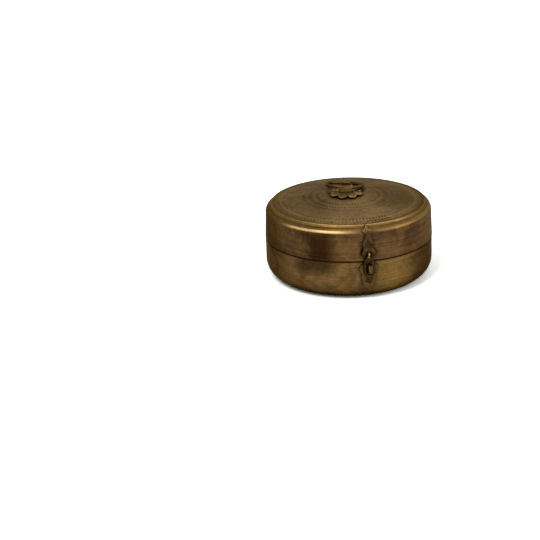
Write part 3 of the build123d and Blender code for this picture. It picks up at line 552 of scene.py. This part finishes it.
# Body: a bowl beaten from one sheet. Its profile, a flat base, a quarter circle and an upright wall, is carried
# round Z, and the wall gives inwards by a tenth of a millimetre here and there.
bodyBowl = {
    "radius": 110.0,
    "rim": 52.95,
    "corner": 24.0,             # radius of the bottom edge
    "sheet": 1.4,
    "lip": 0.6,                 # rounding of the rim
    "steps": 540,
    "dent": 0.16,
    "dentFrom": (60.0, 40.0),   # radius where the dents begin, and how much further out they are full
    "dentTo": (1.5, 8.0),       # how far below the rim they end, and how much lower they are full
    "dentPitch": 14.0,
    "dentSeed": 11,
}


def buildBody():
    s = bodyBowl
    flat = s["radius"] - s["corner"]
    inner = s["radius"] - s["sheet"]
    outside = np.concatenate([
        line((0, 0), (flat, 0), 12),
        arc((flat, s["corner"]), s["corner"], -90, 0, 22),
        line((s["radius"], s["corner"] + 2 * gap), (s["radius"], s["rim"] - s["lip"]), 16),
        arc((s["radius"] - s["lip"], s["rim"] - s["lip"]), s["lip"], 0, 90, 6),
    ])
    hollow = np.concatenate([
        line((inner, s["rim"]), (inner, s["corner"]), 16),
        arc((flat, s["corner"]), s["corner"] - s["sheet"], 0, -90, 20),
        line((flat - 2 * gap, s["sheet"]), (0, s["sheet"]), 12),
        [[0, s["sheet"]]],
    ])
    profile = np.concatenate([outside, hollow])
    radius, height = profile[None, :, 0], profile[None, :, 1]
    grid, angle = turned(profile, s["steps"])
    share = (partWay(radius - s["dentFrom"][0], s["dentFrom"][1])
             * partWay(s["rim"] - s["dentTo"][0] - height, s["dentTo"][1]))
    pushIn(grid, angle, s["dent"] * share * ripples(angle, height / s["dentPitch"], s["dentSeed"]))
    addPiece("bodyBowl", [(grid, True, False)], "spunBrassBody", "box", ["body_shell"],
             inside=(len(outside), len(profile)))


# Lid wall: a leaning line, a quarter circle for the shoulder and a flange under the disc's edge, carried round Z
lidRing = {
    "radius": 110.3,            # at the rim
    "rim": 53.45,
    "sheet": 1.4,
    "lip": 0.6,
    "shoulder": 87.5,           # height where the round shoulder starts
    "arc": 9.4,                 # its radius
    "inset": 1.1,               # how much narrower the wall is there
    "flange": 4.8,
    "steps": 540,
    "dent": 0.16,
    "dentFrom": (1.5, 8.0),     # how far above the rim the dents begin, and how much higher they are full
    "dentTo": (1.0, 6.0),       # how far below the top they end, and how much lower they are full
    "dentPitch": 12.0,
    "dentSeed": 23,
}


def buildLidRing():
    s = lidRing
    middle = s["radius"] - s["inset"] - s["arc"]
    top = s["shoulder"] + s["arc"]
    foot = s["radius"] - s["sheet"]
    lipMiddle = s["radius"] - s["lip"]
    outside = np.concatenate([
        line((s["radius"], s["rim"] + s["lip"]), (middle + s["arc"], s["shoulder"] - gap), 30),
        arc((middle, s["shoulder"]), s["arc"], 0, 90, 24),
        line((middle - 2 * gap, top), (middle - s["flange"], top), 4),
    ])
    hollow = np.concatenate([
        line((middle - s["flange"], top), (middle - s["flange"], top - s["sheet"]), 3),
        line((middle - s["flange"], top - s["sheet"]), (middle - gap, top - s["sheet"]), 4),
        arc((middle, s["shoulder"]), s["arc"] - s["sheet"], 90, 0, 16),
        line((middle + s["arc"] - s["sheet"], s["shoulder"] - 2 * gap), (foot, s["rim"]), 24),
    ])
    edge = np.concatenate([
        line((foot, s["rim"]), (lipMiddle, s["rim"]), 2),
        arc((lipMiddle, s["rim"] + s["lip"]), s["lip"], -90, -10, 6),
    ])
    profile = np.concatenate([outside, hollow, edge])
    height = profile[None, :, 1]
    grid, angle = turned(profile, s["steps"])
    share = (partWay(height - s["rim"] - s["dentFrom"][0], s["dentFrom"][1])
             * partWay(top - s["dentTo"][0] - height, s["dentTo"][1]))
    pushIn(grid, angle, s["dent"] * share * ripples(angle, height / s["dentPitch"], s["dentSeed"]))
    addPiece("lidRing", [(grid, True, True)], "spunBrassLidWall", "lid", ["lid_wall"],
             inside=(len(outside), len(outside) + len(hollow)))


# Lid disc: a shallow dome, a crest round its edge, and a cove that runs down onto the shoulder. Height of the dome
# = top - sphere radius + sqrt(sphere radius squared - radius squared), less a rounded groove at each turned ring.
lidDisc = {
    "top": 107.95,
    "sheet": 1.2,
    "sphere": 550.666,
    "edge": 99.7,               # where the dome ends
    "crestMiddle": (100.6, 98.17),
    "crestRadius": 1.13,
    "crestFrom": 127,           # degrees
    "crestTo": 40,
    "coveFoot": 103.4,
    "coveBow": (-0.3025, -0.341),       # how far the cove is drawn in, half way down
    "shoulder": 87.5,           # the lid wall's round shoulder, on which the disc sits
    "shoulderMiddle": 99.8,
    "arc": 9.4,
    "footGap": 0.17,
    "seatGap": 0.05,
    "underside": (1.2, 2.4),    # how far inside the dome's edge the seat ends and the low dome begins
    "grooves": (36.2, 42.3, 47.9, 49.6, 56.8, 58.6, 82.4, 96.0),
    "grooveDepth": 0.09,
    "grooveWidth": 0.4,
    "grooveRadii": (-1.1, -0.7, -0.35, 0, 0.35, 0.7, 1.1),      # points across a groove
    "steps": 600,
    "dent": 0.14,
    "dentFrom": (12.0, 30.0),   # radius where the dents begin, and how much further out they are full
    "dentTo": (2.0, 8.0),       # how far inside the edge they end, and how much further in they are full
    "dentPitch": 22.0,
    "dentSeed": 37,
}


def domeHeight(radius):
    s = lidDisc
    return s["top"] - s["sphere"] + np.sqrt(s["sphere"] ** 2 - radius ** 2)


def buildLidDisc():
    s = lidDisc
    radii = [np.linspace(0, s["edge"], 34)]
    for groove in s["grooves"]:
        radii.append(groove + np.array(s["grooveRadii"]))
    radii = np.unique(np.round(np.concatenate(radii), 2))
    radii = radii[radii <= s["edge"]]
    domeTop = domeHeight(radii)
    for groove in s["grooves"]:
        domeTop = domeTop - s["grooveDepth"] * np.exp(-((radii - groove) / s["grooveWidth"]) ** 2)
    dome = np.stack([radii, domeTop], -1)
    crest = arc(s["crestMiddle"], s["crestRadius"], s["crestFrom"], s["crestTo"], 8)
    out = s["coveFoot"] - s["shoulderMiddle"]
    foot = (s["coveFoot"], s["shoulder"] + math.sqrt((s["arc"] + s["footGap"]) ** 2 - out ** 2))
    share = np.linspace(0, 1, 9)[1:, None]
    cove = crest[-1] + share * (np.array(foot) - crest[-1]) + 4 * share * (1 - share) * np.array(s["coveBow"])
    seatRadius = s["arc"] + s["seatGap"]
    seat = arc((s["shoulderMiddle"], s["shoulder"]), seatRadius, np.degrees(math.acos(out / seatRadius)), 90, 6)
    seatEnd = [[s["edge"] - s["underside"][0], s["shoulder"] + seatRadius]]
    inner = np.linspace(s["edge"] - s["underside"][1], 0, 16)
    lowDome = np.stack([inner, domeHeight(inner) - s["sheet"]], -1)
    profile = np.concatenate([dome, crest, cove, seat, seatEnd, lowDome])
    radius = profile[None, :, 0]
    grid, angle = turned(profile, s["steps"])
    share = (partWay(radius - s["dentFrom"][0], s["dentFrom"][1])
             * partWay(s["edge"] - s["dentTo"][0] - radius, s["dentTo"][1]))
    grid[..., 2] -= s["dent"] * share * ripples(angle, radius / s["dentPitch"], s["dentSeed"])
    addPiece("lidDisc", [(grid, True, False)], "engravedBrassTop", "lid", ["lid_top_disc"],
             inside=(len(profile) - len(lowDome) - 1, len(profile)))


# The handle's own frame: Z up through the eye, X along the eye's bore
handleFrame = {
    "x": -2.5,
    "y": 0.4,
    "turn": -9.0,
    "eye": 117.4,               # height of the bore's middle
    "lean": 4.0,
    "ringTilt": 10.23,          # how far the resting ring drops below level
    "rosetteTurn": -6.0,
}


def onHandle():
    s = handleFrame
    return Matrix.Translation((s["x"], s["y"], 0)) @ Matrix.Rotation(math.radians(s["turn"]), 4, "Z")


def atEye():
    s = handleFrame
    return onHandle() @ Matrix.Translation((0, 0, s["eye"])) @ Matrix.Rotation(math.radians(s["lean"]), 4, "Y")


# Ring: a bent rod, a little uneven in thickness. A circle of the rod's radius carried round the ring's circle.
ringRod = {
    "radius": 23.7,
    "rod": 2.35,                # the rod's own radius
    "offset": 22.881,           # from the eye's bore to the ring's middle
    "uneven": 0.14,
    "unevenRound": 2,           # how much faster it changes round the rod
    "unevenSeed": 5,
    "steps": 160,
    "rodSteps": 32,
}


def buildRing():
    s = ringRod
    turn = around(s["steps"])[:, None]
    side = around(s["rodSteps"])[None, :]
    rod = s["rod"] - s["uneven"] * ripples(turn, s["unevenRound"] * side, s["unevenSeed"])
    reach = s["radius"] + rod * np.cos(side)
    grid = np.stack([reach * np.sin(turn), s["offset"] - reach * np.cos(turn), rod * np.sin(side)], -1)
    tilt = Matrix.Rotation(math.radians(-handleFrame["ringTilt"]), 4, "X")
    addPiece("ringRod", [(placed(grid, atEye() @ tilt), True, True)], "darkBrassRing", "ring",
             ["ring_handle"])


# Rosette: eight cushions round a hub. From the middle of its top to the middle of its back, a petal's outline is
# an ellipse scaled by a share that grows to one and falls again, and its height falls in a soft curve.
rosetteFlower = {
    "petals": 8,
    "centre": 16.1,             # a petal's middle, from the hub's
    "wide": 6.3,                # half of a petal's width and length
    "long": 6.45,
    "edge": 1.5,                # thickness at its edge
    "crown": 0.95,              # how much higher its middle is
    "crownPower": 2.6,
    "crownEdge": 0.14,          # share of the crown that is left at the edge
    "crownShare": 0.93,         # share of the outline that the crown covers
    "sideTurn": 0.2,            # where the side's curve starts, in radians
    "sideTop": 0.97,            # share of the edge where the side starts
    "sideFoot": 0.12,           # height where it ends
    "backShare": 0.9,
    "dimple": 0.1,
    "dimpleShare": 0.35,
    "droop": 0.9,               # how far its tip hangs
    "droopPower": 1.5,
    "inward": 1.4,              # how much longer the half towards the hub is
    "rise": 0.9,                # how far that half sinks
    "plate": 109.6,             # height of its back
    "topFrom": 0.3,             # points higher than this are the top
    "waves": ((3, 0.012), (5, 0.008)),      # unevenness of the outline: waves round it and their height
    "wideVary": (-0.16, 0.05),  # how much one petal differs from another
    "longVary": (-0.12, 0.08),
    "liftVary": (-0.12, 0.05),
    "steps": 56,
    "topSteps": 14,
    "sideSteps": 9,
    "backSteps": 5,
    "hub": 13.4,
    "hubBottom": 108.0,
    "hubTop": 110.0,
    "hubChamfer": (0.5, 0.4),
    "hubSteps": 96,
    "seed": 3,
}


def buildRosette():
    s = rosetteFlower
    rng = np.random.default_rng(s["seed"])
    grids = []
    turn = around(s["steps"])[None, :]
    sideCurve = np.sin(np.linspace(s["sideTurn"], math.pi - s["sideTurn"], s["sideSteps"]))
    out = np.concatenate([np.linspace(0, s["crownShare"], s["topSteps"]),
                          s["crownShare"] + (1 - s["crownShare"]) * sideCurve,
                          np.linspace(s["backShare"], 0, s["backSteps"])])[:, None]
    crown = (1 - np.linspace(0, 1, s["topSteps"]) ** s["crownPower"]) * (1 - s["crownEdge"]) + s["crownEdge"]
    height = np.concatenate([s["edge"] + s["crown"] * crown,
                             np.linspace(s["edge"] * s["sideTop"], s["sideFoot"], s["sideSteps"]),
                             np.zeros(s["backSteps"])])[:, None]
    top = height > s["topFrom"]
    dimple = s["dimple"] * np.exp(-(out / s["dimpleShare"]) ** 2)
    seat = Matrix.Translation((handleFrame["x"], handleFrame["y"], s["plate"]))
    for petal in range(s["petals"]):
        wide = s["wide"] + rng.uniform(*s["wideVary"])
        long = s["long"] + rng.uniform(*s["longVary"])
        lift = rng.uniform(*s["liftVary"])
        wobble = 1
        for waves, rise in s["waves"]:
            wobble = wobble + rise * np.sin(waves * turn + rng.uniform(0, 6))
        along = long * out * np.cos(turn) * wobble
        along = np.where(along > 0, along * s["inward"], along)
        droop = s["droop"] * partWay(-along, s["long"]) ** s["droopPower"]
        droop = droop - s["rise"] * partWay(along, s["long"] * s["inward"]) * top
        grid = np.stack([wide * out * np.sin(turn) * wobble, along - s["centre"],
                         height + (lift - dimple) * top - droop], -1)
        azimuth = handleFrame["rosetteTurn"] + 360 / s["petals"] * (petal + 0.5)
        grids.append((placed(grid, seat @ Matrix.Rotation(math.radians(azimuth), 4, "Z")), False, True))
    hubProfile = np.array([(0, s["hubTop"]), (s["hub"] - s["hubChamfer"][0], s["hubTop"]),
                           (s["hub"], s["hubTop"] - s["hubChamfer"][1]), (s["hub"], s["hubBottom"]),
                           (0, s["hubBottom"])])
    hub, angle = turned(hubProfile, s["hubSteps"])
    grids.append((placed(hub, Matrix.Translation((handleFrame["x"], handleFrame["y"], 0))), True, False))
    addPiece("rosetteFlower", grids, "rubbedBrassRosette", "lid", ["rosette"])


# Strap: a strip with raised borders, bent over the ring. Its section is carried along a path that runs up the
# front, over the eye in a half circle and down the back; below, two tails go through the lid and turn outwards.
ringStrap = {
    "half": 8.55,               # half of the strip's width
    "backInset": 0.15,          # its back is this much narrower at each side
    "border": 2.9,
    "raise": 0.6,               # how high a border stands
    "raiseTurn": 0.62,          # share of a half wave across a border
    "raisePower": 1.3,
    "edgeFrom": 0.86,           # share of a border where its outer edge falls away
    "edgeFall": 0.45,
    "wall": 1.1,
    "bore": 3.4705,
    "bottom": 110.1,
    "cornerHeight": 2.2,        # the lower corners are rounded this far up
    "cornerDraw": 0.16,         # share by which they are drawn in
    "legSteps": 17,
    "bowSteps": 33,
    "acrossSteps": 61,
    "neck": 6.5,                # half of a tail's width
    "tailSheet": 1.5,
    "tailRound": 0.4,
    "tailMiddle": 104.46,       # height of the turned-out tails
    "tailSide": 0.85,           # a tail's middle, from the strap's
    "tailTop": 1.2,             # how far a tail reaches up into the strap
    "tailReach": 7.4,
    "bend": 1.5,
}


# A point of the section, (across, out), lies at path + across along X + out along the path's normal. At each end
# the section's first half meets its second half, read backwards, on the strip's middle plane.
def strip(path, normal, section):
    grid = np.zeros((len(path), len(section), 3))
    grid[..., 0] = section[None, :, 0]
    grid[..., 1] = path[:, None, 0] + section[None, :, 1] * normal[:, None, 0]
    grid[..., 2] = path[:, None, 1] + section[None, :, 1] * normal[:, None, 1]
    ends = grid[[0, -1]].copy()
    ends[..., 0] = (section[None, :, 0] + section[None, ::-1, 0]) / 2
    ends[..., 1] = path[[0, -1], None, 0]
    ends[..., 2] = path[[0, -1], None, 1]
    return np.concatenate([ends[:1], grid, ends[1:]])


def pairs(first, second):           # two rows of numbers as points
    return np.stack(np.broadcast_arrays(first, second), -1).astype(float)


def strapGrid():
    s = ringStrap
    eye = handleFrame["eye"]
    middle = s["bore"] + s["wall"] / 2
    legs = np.linspace(s["bottom"], eye, s["legSteps"] + 1)[:-1]
    bow = np.radians(np.linspace(180, 0, s["bowSteps"]))
    path = np.concatenate([pairs(-middle, legs), pairs(middle * np.cos(bow), eye + middle * np.sin(bow)),
                           pairs(middle, legs[::-1])])
    normal = np.concatenate([np.tile([-1.0, 0.0], (len(legs), 1)), pairs(np.cos(bow), np.sin(bow)),
                             np.tile([1.0, 0.0], (len(legs), 1))])
    across = s["half"] * np.sin(np.linspace(-math.pi / 2, math.pi / 2, s["acrossSteps"]))
    swell = partWay(np.abs(across) - (s["half"] - s["border"]), s["border"])
    outer = s["wall"] / 2 + s["raise"] * np.sin(swell * math.pi * s["raiseTurn"]) ** s["raisePower"]
    outer = outer - s["edgeFall"] * partWay(swell - s["edgeFrom"], 1 - s["edgeFrom"])
    backAcross = -across * (s["half"] - s["backInset"]) / s["half"]
    grid = strip(path, normal, np.concatenate([pairs(across, outer), pairs(backAcross, -s["wall"] / 2)]))
    cornerTop = s["bottom"] + s["cornerHeight"]
    drawn = 1 - s["cornerDraw"] * ((cornerTop - grid[..., 2]) / s["cornerHeight"]) ** 2
    grid[..., 0] = np.where(grid[..., 2] < cornerTop, grid[..., 0] * drawn, grid[..., 0])

    # the strap leans more and more from its foot up to the eye
    lean = math.radians(handleFrame["lean"]) * partWay(grid[..., 2] - s["bottom"], eye - s["bottom"])
    x = grid[..., 0] * np.cos(lean) + (grid[..., 2] - eye) * np.sin(lean)
    z = eye - grid[..., 0] * np.sin(lean) + (grid[..., 2] - eye) * np.cos(lean)
    return np.stack([x, grid[..., 1], z], -1)


def tailGrid(side):                 # side is -1 for the front tail and 1 for the back one
    s = ringStrap
    halfSheet = s["tailSheet"] / 2
    edge = np.radians(np.linspace(90, -90, 7))
    border = s["neck"] - s["tailRound"] + s["tailRound"] * np.cos(edge)
    section = np.concatenate([pairs(border, halfSheet * np.sin(edge)),
                              pairs(-border[::-1], halfSheet * np.sin(edge[::-1]))])
    bendMiddle = s["tailMiddle"] + s["bend"]
    drop = np.linspace(s["bottom"] + s["tailTop"], bendMiddle, 8)[:-1]
    curve = np.radians(np.linspace(180, 270, 9))
    reach = np.linspace(s["tailSide"] + s["bend"], s["tailReach"], 6)[1:]
    path = np.concatenate([pairs(s["tailSide"], drop),
                           pairs(s["tailSide"] + s["bend"] + s["bend"] * np.cos(curve),
                                 bendMiddle + s["bend"] * np.sin(curve)),
                           pairs(reach, s["tailMiddle"])])
    normal = np.concatenate([np.tile([1.0, 0.0], (len(drop), 1)), -pairs(np.cos(curve), np.sin(curve)),
                             np.tile([0.0, 1.0], (len(reach), 1))])
    return strip(path * [side, 1], normal * [side, 1], section)


def buildStrap():
    grids = [(placed(grid, onHandle()), False, True) for grid in (strapGrid(), tailGrid(-1), tailGrid(1))]
    addPiece("ringStrap", grids, "rubbedBrassStrap", "lid", ["ring_strap"])


# Rivets: a hammered head, a shank and a small tail inside. The profile of (radius, height) points is carried round
# the rivet's own axis, and the head's height drops a little where the hammer fell. A place is the wall that the
# rivet goes through, its turn round the box and its height, or on the shoulder the angle above the level.
rivetHeads = {
    "upperRivet": {
        "node": "lid_plate_rivet_upper", "head": 3.2, "rise": 1.7, "blows": 0.22, "finish": "hammeredCopper",
        "body": "lid", "places": (("shoulder", 39.0),),
    },
    "lowerRivet": {
        "node": "lid_plate_rivet_lower", "head": 3.7, "rise": 0.7, "blows": 0.3, "finish": "tarnishedCopper",
        "body": "lid", "places": (("lid", 0, 77.6),),
    },
    "stapleRivet": {
        "node": "staple_plate_rivet", "head": 2.8, "rise": 0.25, "blows": 0.2, "finish": "tarnishedCopper",
        "body": "box", "places": (("box", -0.8334, 27.5),),
    },
    "lidLeafRivets": {
        "node": "lid_hinge_rivets", "head": 3.0, "rise": 1.2, "blows": 0.25, "finish": "hammeredCopper",
        "body": "lid", "places": (("lid", 174.27, 65.7), ("lid", 185.73, 65.7), ("lid", 180, 75.7)),
    },
    "bodyLeafRivets": {
        "node": "body_hinge_rivets", "head": 3.0, "rise": 1.2, "blows": 0.25, "finish": "hammeredCopper",
        "body": "box", "places": (("box", 174.27, 40.7), ("box", 185.73, 40.7), ("box", 180, 30.7)),
    },
}
rivetForm = {
    "plateFace": 1.25,          # outside of a riveted plate, from the wall
    "grip": 2.65,               # from there to the inside of the wall
    "burr": 1.0,
    "shank": 1.6,
    "headSide": ((0.0, 0.2), (0.1, 0.65)),      # how far in from the head's radius, and how far down
    "headUnder": 0.7,
    "headFrom": -0.1,           # the hammer reaches points higher than this
    "tail": ((2.1, 0.1), (2.15, 0.4), (1.7, 0.8), (0, 0.9)),    # radius, and how far below the burr
    "headPower": 0.9,
    "blowPitch": 2.2,
    "blowSeed": 40,
    "seedStep": 7,
    "blowEdge": 1.02,           # the blows end here, in head radii
    "evenMiddle": 0.8,          # and fade to nothing at the middle, where the columns meet
    "steps": 48,
}


def rivetFrame(wall, azimuth, height=0.0):
    lid = lidRing
    if wall == "shoulder":
        reach = lid["arc"] + rivetForm["plateFace"]
        middle = lid["radius"] - lid["inset"] - lid["arc"]
        y = -(middle + reach * math.cos(math.radians(azimuth)))
        z = lid["shoulder"] + reach * math.sin(math.radians(azimuth))
        return Matrix.Translation((0, y, z)) @ Matrix.Rotation(math.radians(90 - azimuth), 4, "X")
    radius, lean = bodyBowl["radius"], 0
    if wall == "lid":
        tall = lid["shoulder"] - lid["rim"]
        radius = lid["radius"] - lid["inset"] * (height - lid["rim"]) / tall
        lean = math.atan2(lid["inset"], tall)
    spot = Matrix.Translation((0, -(radius + rivetForm["plateFace"]), height))
    return Matrix.Rotation(math.radians(azimuth), 4, "Z") @ spot @ Matrix.Rotation(math.pi / 2 - lean, 4, "X")


def buildRivets(name):
    s = rivetHeads[name]
    f = rivetForm
    ball = (s["head"] ** 2 + s["rise"] ** 2) / (2 * s["rise"])
    out = s["head"] * np.sin(np.linspace(0, 1, 14) * math.pi / 2) ** f["headPower"]
    cap = np.stack([out, s["rise"] - ball + np.sqrt(ball ** 2 - out ** 2)], -1)
    tailTop = -(f["grip"] + f["burr"])
    side = [(s["head"] - inset, -drop) for inset, drop in f["headSide"]]
    tail = [(wide, tailTop - drop) for wide, drop in f["tail"]]
    profile = np.concatenate([cap, side, [(f["shank"], -f["headUnder"]), (f["shank"], tailTop)], tail])
    radius, height = profile[None, :, 0], profile[None, :, 1]
    grids = []
    for number, place in enumerate(s["places"]):
        grid, angle = turned(profile, f["steps"])
        blows = ripples(angle, radius * f["blowPitch"], f["blowSeed"] + f["seedStep"] * number, most=5)
        blows = blows * np.clip(f["blowEdge"] - radius / s["head"], 0, 1) * partWay(radius, f["evenMiddle"])
        grid[..., 2] -= s["blows"] * s["rise"] * blows * (height > f["headFrom"])
        grids.append((placed(grid, rivetFrame(*place)), True, False))
    addPiece(name, grids, s["finish"], s["body"], [s["node"]])


# Cut and filed plates: copies of the CAD's pieces with their edges rubbed round by a bevel
filedPlates = {
    "lid_hasp_plate": {"finish": "darkBrassPlates", "body": "lid", "soft": 0.28},
    "hasp": {"finish": "darkBrassHasp", "body": "hasp", "soft": 0.3},
    "staple_plate": {"finish": "darkBrassPlates", "body": "box", "soft": 0.28},
    "staple": {"finish": "rubbedBrassStaple", "body": "box", "soft": 0.3},
    "hasp_pin": {"finish": "rubbedBrassStaple", "body": "lid", "soft": 0.2},
    "lid_hinge_leaf": {"finish": "darkBrassPlates", "body": "lid", "soft": 0.25},
    "body_hinge_leaf": {"finish": "darkBrassPlates", "body": "box", "soft": 0.25},
    "hinge_pin": {"finish": "rubbedBrassStaple", "body": "box", "soft": 0.25},
}
filing = {
    "flat": 0.6,                # degrees within which faces count as one flat face
    "corner": 45,               # degrees from which an edge is rubbed
    "segments": 2,
}


def buildPlate(node):
    s = filedPlates[node]
    mesh = nodes[node].data.copy()
    mesh.name = node + "Filed"
    edit = bmesh.new()
    edit.from_mesh(mesh)
    bmesh.ops.remove_doubles(edit, verts=edit.verts, dist=samePoint)
    bmesh.ops.dissolve_limit(edit, angle_limit=math.radians(filing["flat"]), verts=edit.verts, edges=edit.edges)
    edit.to_mesh(mesh)
    edit.free()
    mesh.shade_smooth()
    mesh.set_sharp_from_angle(angle=math.radians(sharpEdge))
    mesh.materials.clear()
    mesh.materials.append(finishes[s["finish"]])
    piece = settle(mesh.name, mesh, s["body"], [node])
    bevel = piece.modifiers.new("filedEdges", "BEVEL")
    bevel.width = s["soft"] * mm
    bevel.segments = filing["segments"]
    bevel.limit_method = "ANGLE"
    bevel.angle_limit = math.radians(filing["corner"])
    bevel.harden_normals = False


# Studio: pale floor, white surroundings, two soft lamps
studio = {
    "floorColour": "#f2f2f0",
    "floorSeen": 2.1,       # how much paler the camera sees the floor, so that it is white outside the shadow
    "floorSize": 8.0,
    "world": 0.55,
    "aim": (0, 0, 0.06),
    "keyPower": 18.0,
    "keySize": 0.8,
    "keySpot": (-0.9, -1.0, 1.7),
    "fillPower": 9.0,
    "fillSize": 1.2,
    "fillSpot": (1.5, -0.9, 0.9),
}


def addLamp(name, spot, size, power):
    data = bpy.data.lights.new(name, "AREA")
    data.shape = "DISK"
    data.size = size
    data.energy = power
    lamp = bpy.data.objects.new(name, data)
    lamp.location = spot
    aim = Vector(studio["aim"]) - Vector(spot)
    lamp.rotation_euler = aim.to_track_quat("-Z", "Y").to_euler()
    bpy.context.scene.collection.objects.link(lamp)


def buildStudio():
    s = studio
    half = s["floorSize"] / 2
    mesh = bpy.data.meshes.new("floor")
    mesh.from_pydata([(-half, -half, 0), (half, -half, 0), (half, half, 0), (-half, half, 0)], [], [(0, 1, 2, 3)])
    floor = bpy.data.objects.new("floor", mesh)
    bpy.context.scene.collection.objects.link(floor)
    material, tree = newMaterial("paleFloor")
    path = addNode(tree, "ShaderNodeLightPath")
    paler = addNode(tree, "ShaderNodeMapRange", {"To Min": 1.0, "To Max": s["floorSeen"]},
                    {"Value": path.outputs["Is Camera Ray"]})
    tone = addNode(tree, "ShaderNodeVectorMath", {"operation": "SCALE", 0: srgb(s["floorColour"])[:3]},
                   {"Scale": paler.outputs[0]})
    shade = addNode(tree, "ShaderNodeBsdfDiffuse", {}, {"Color": tone.outputs[0]})
    addNode(tree, "ShaderNodeOutputMaterial", {}, {"Surface": shade.outputs["BSDF"]})
    mesh.materials.append(material)
    world = bpy.data.worlds.new("studio")
    bpy.context.scene.world = world
    world.use_nodes = True
    tree = world.node_tree
    tree.nodes.clear()
    path = addNode(tree, "ShaderNodeLightPath")
    seen = path.outputs["Is Camera Ray"]        # the camera and reflections see white, and the lamps do the rest
    for ray in ("Is Glossy Ray", "Is Transmission Ray"):
        seen = addNode(tree, "ShaderNodeMath", {"operation": "MAXIMUM"}, {0: seen, 1: path.outputs[ray]}).outputs[0]
    strength = addNode(tree, "ShaderNodeMapRange", {"To Min": s["world"], "To Max": 1.0}, {"Value": seen})
    back = addNode(tree, "ShaderNodeBackground", {"Color": (1, 1, 1, 1)}, {"Strength": strength.outputs[0]})
    addNode(tree, "ShaderNodeOutputWorld", {}, {"Surface": back.outputs["Background"]})
    addLamp("keyLamp", s["keySpot"], s["keySize"], s["keyPower"])
    addLamp("fillLamp", s["fillSpot"], s["fillSize"], s["fillPower"])


placeCamera()
buildStudio()
print("camera and studio placed")
buildBody()
buildLidRing()
buildLidDisc()
print("body and lid built")
buildRing()
buildRosette()
buildStrap()
print("handle built")
for name in rivetHeads:
    buildRivets(name)
for name in filedPlates:
    buildPlate(name)
print("rivets and plates built")

# CAD nodes that stay as they are
plainNodes = {"body_collar": "dullBrassInside", "strap_washer": "dullBrassInside",
              "lid_rivet_burrs": "tarnishedCopper", "body_rivet_burrs": "tarnishedCopper"}
for name, finish in plainNodes.items():
    nodes[name].data.materials.clear()
    nodes[name].data.materials.append(finishes[finish])
print("finishes set on", len(plainNodes), "CAD nodes")

bpy.context.scene.view_settings.view_transform = "Standard"
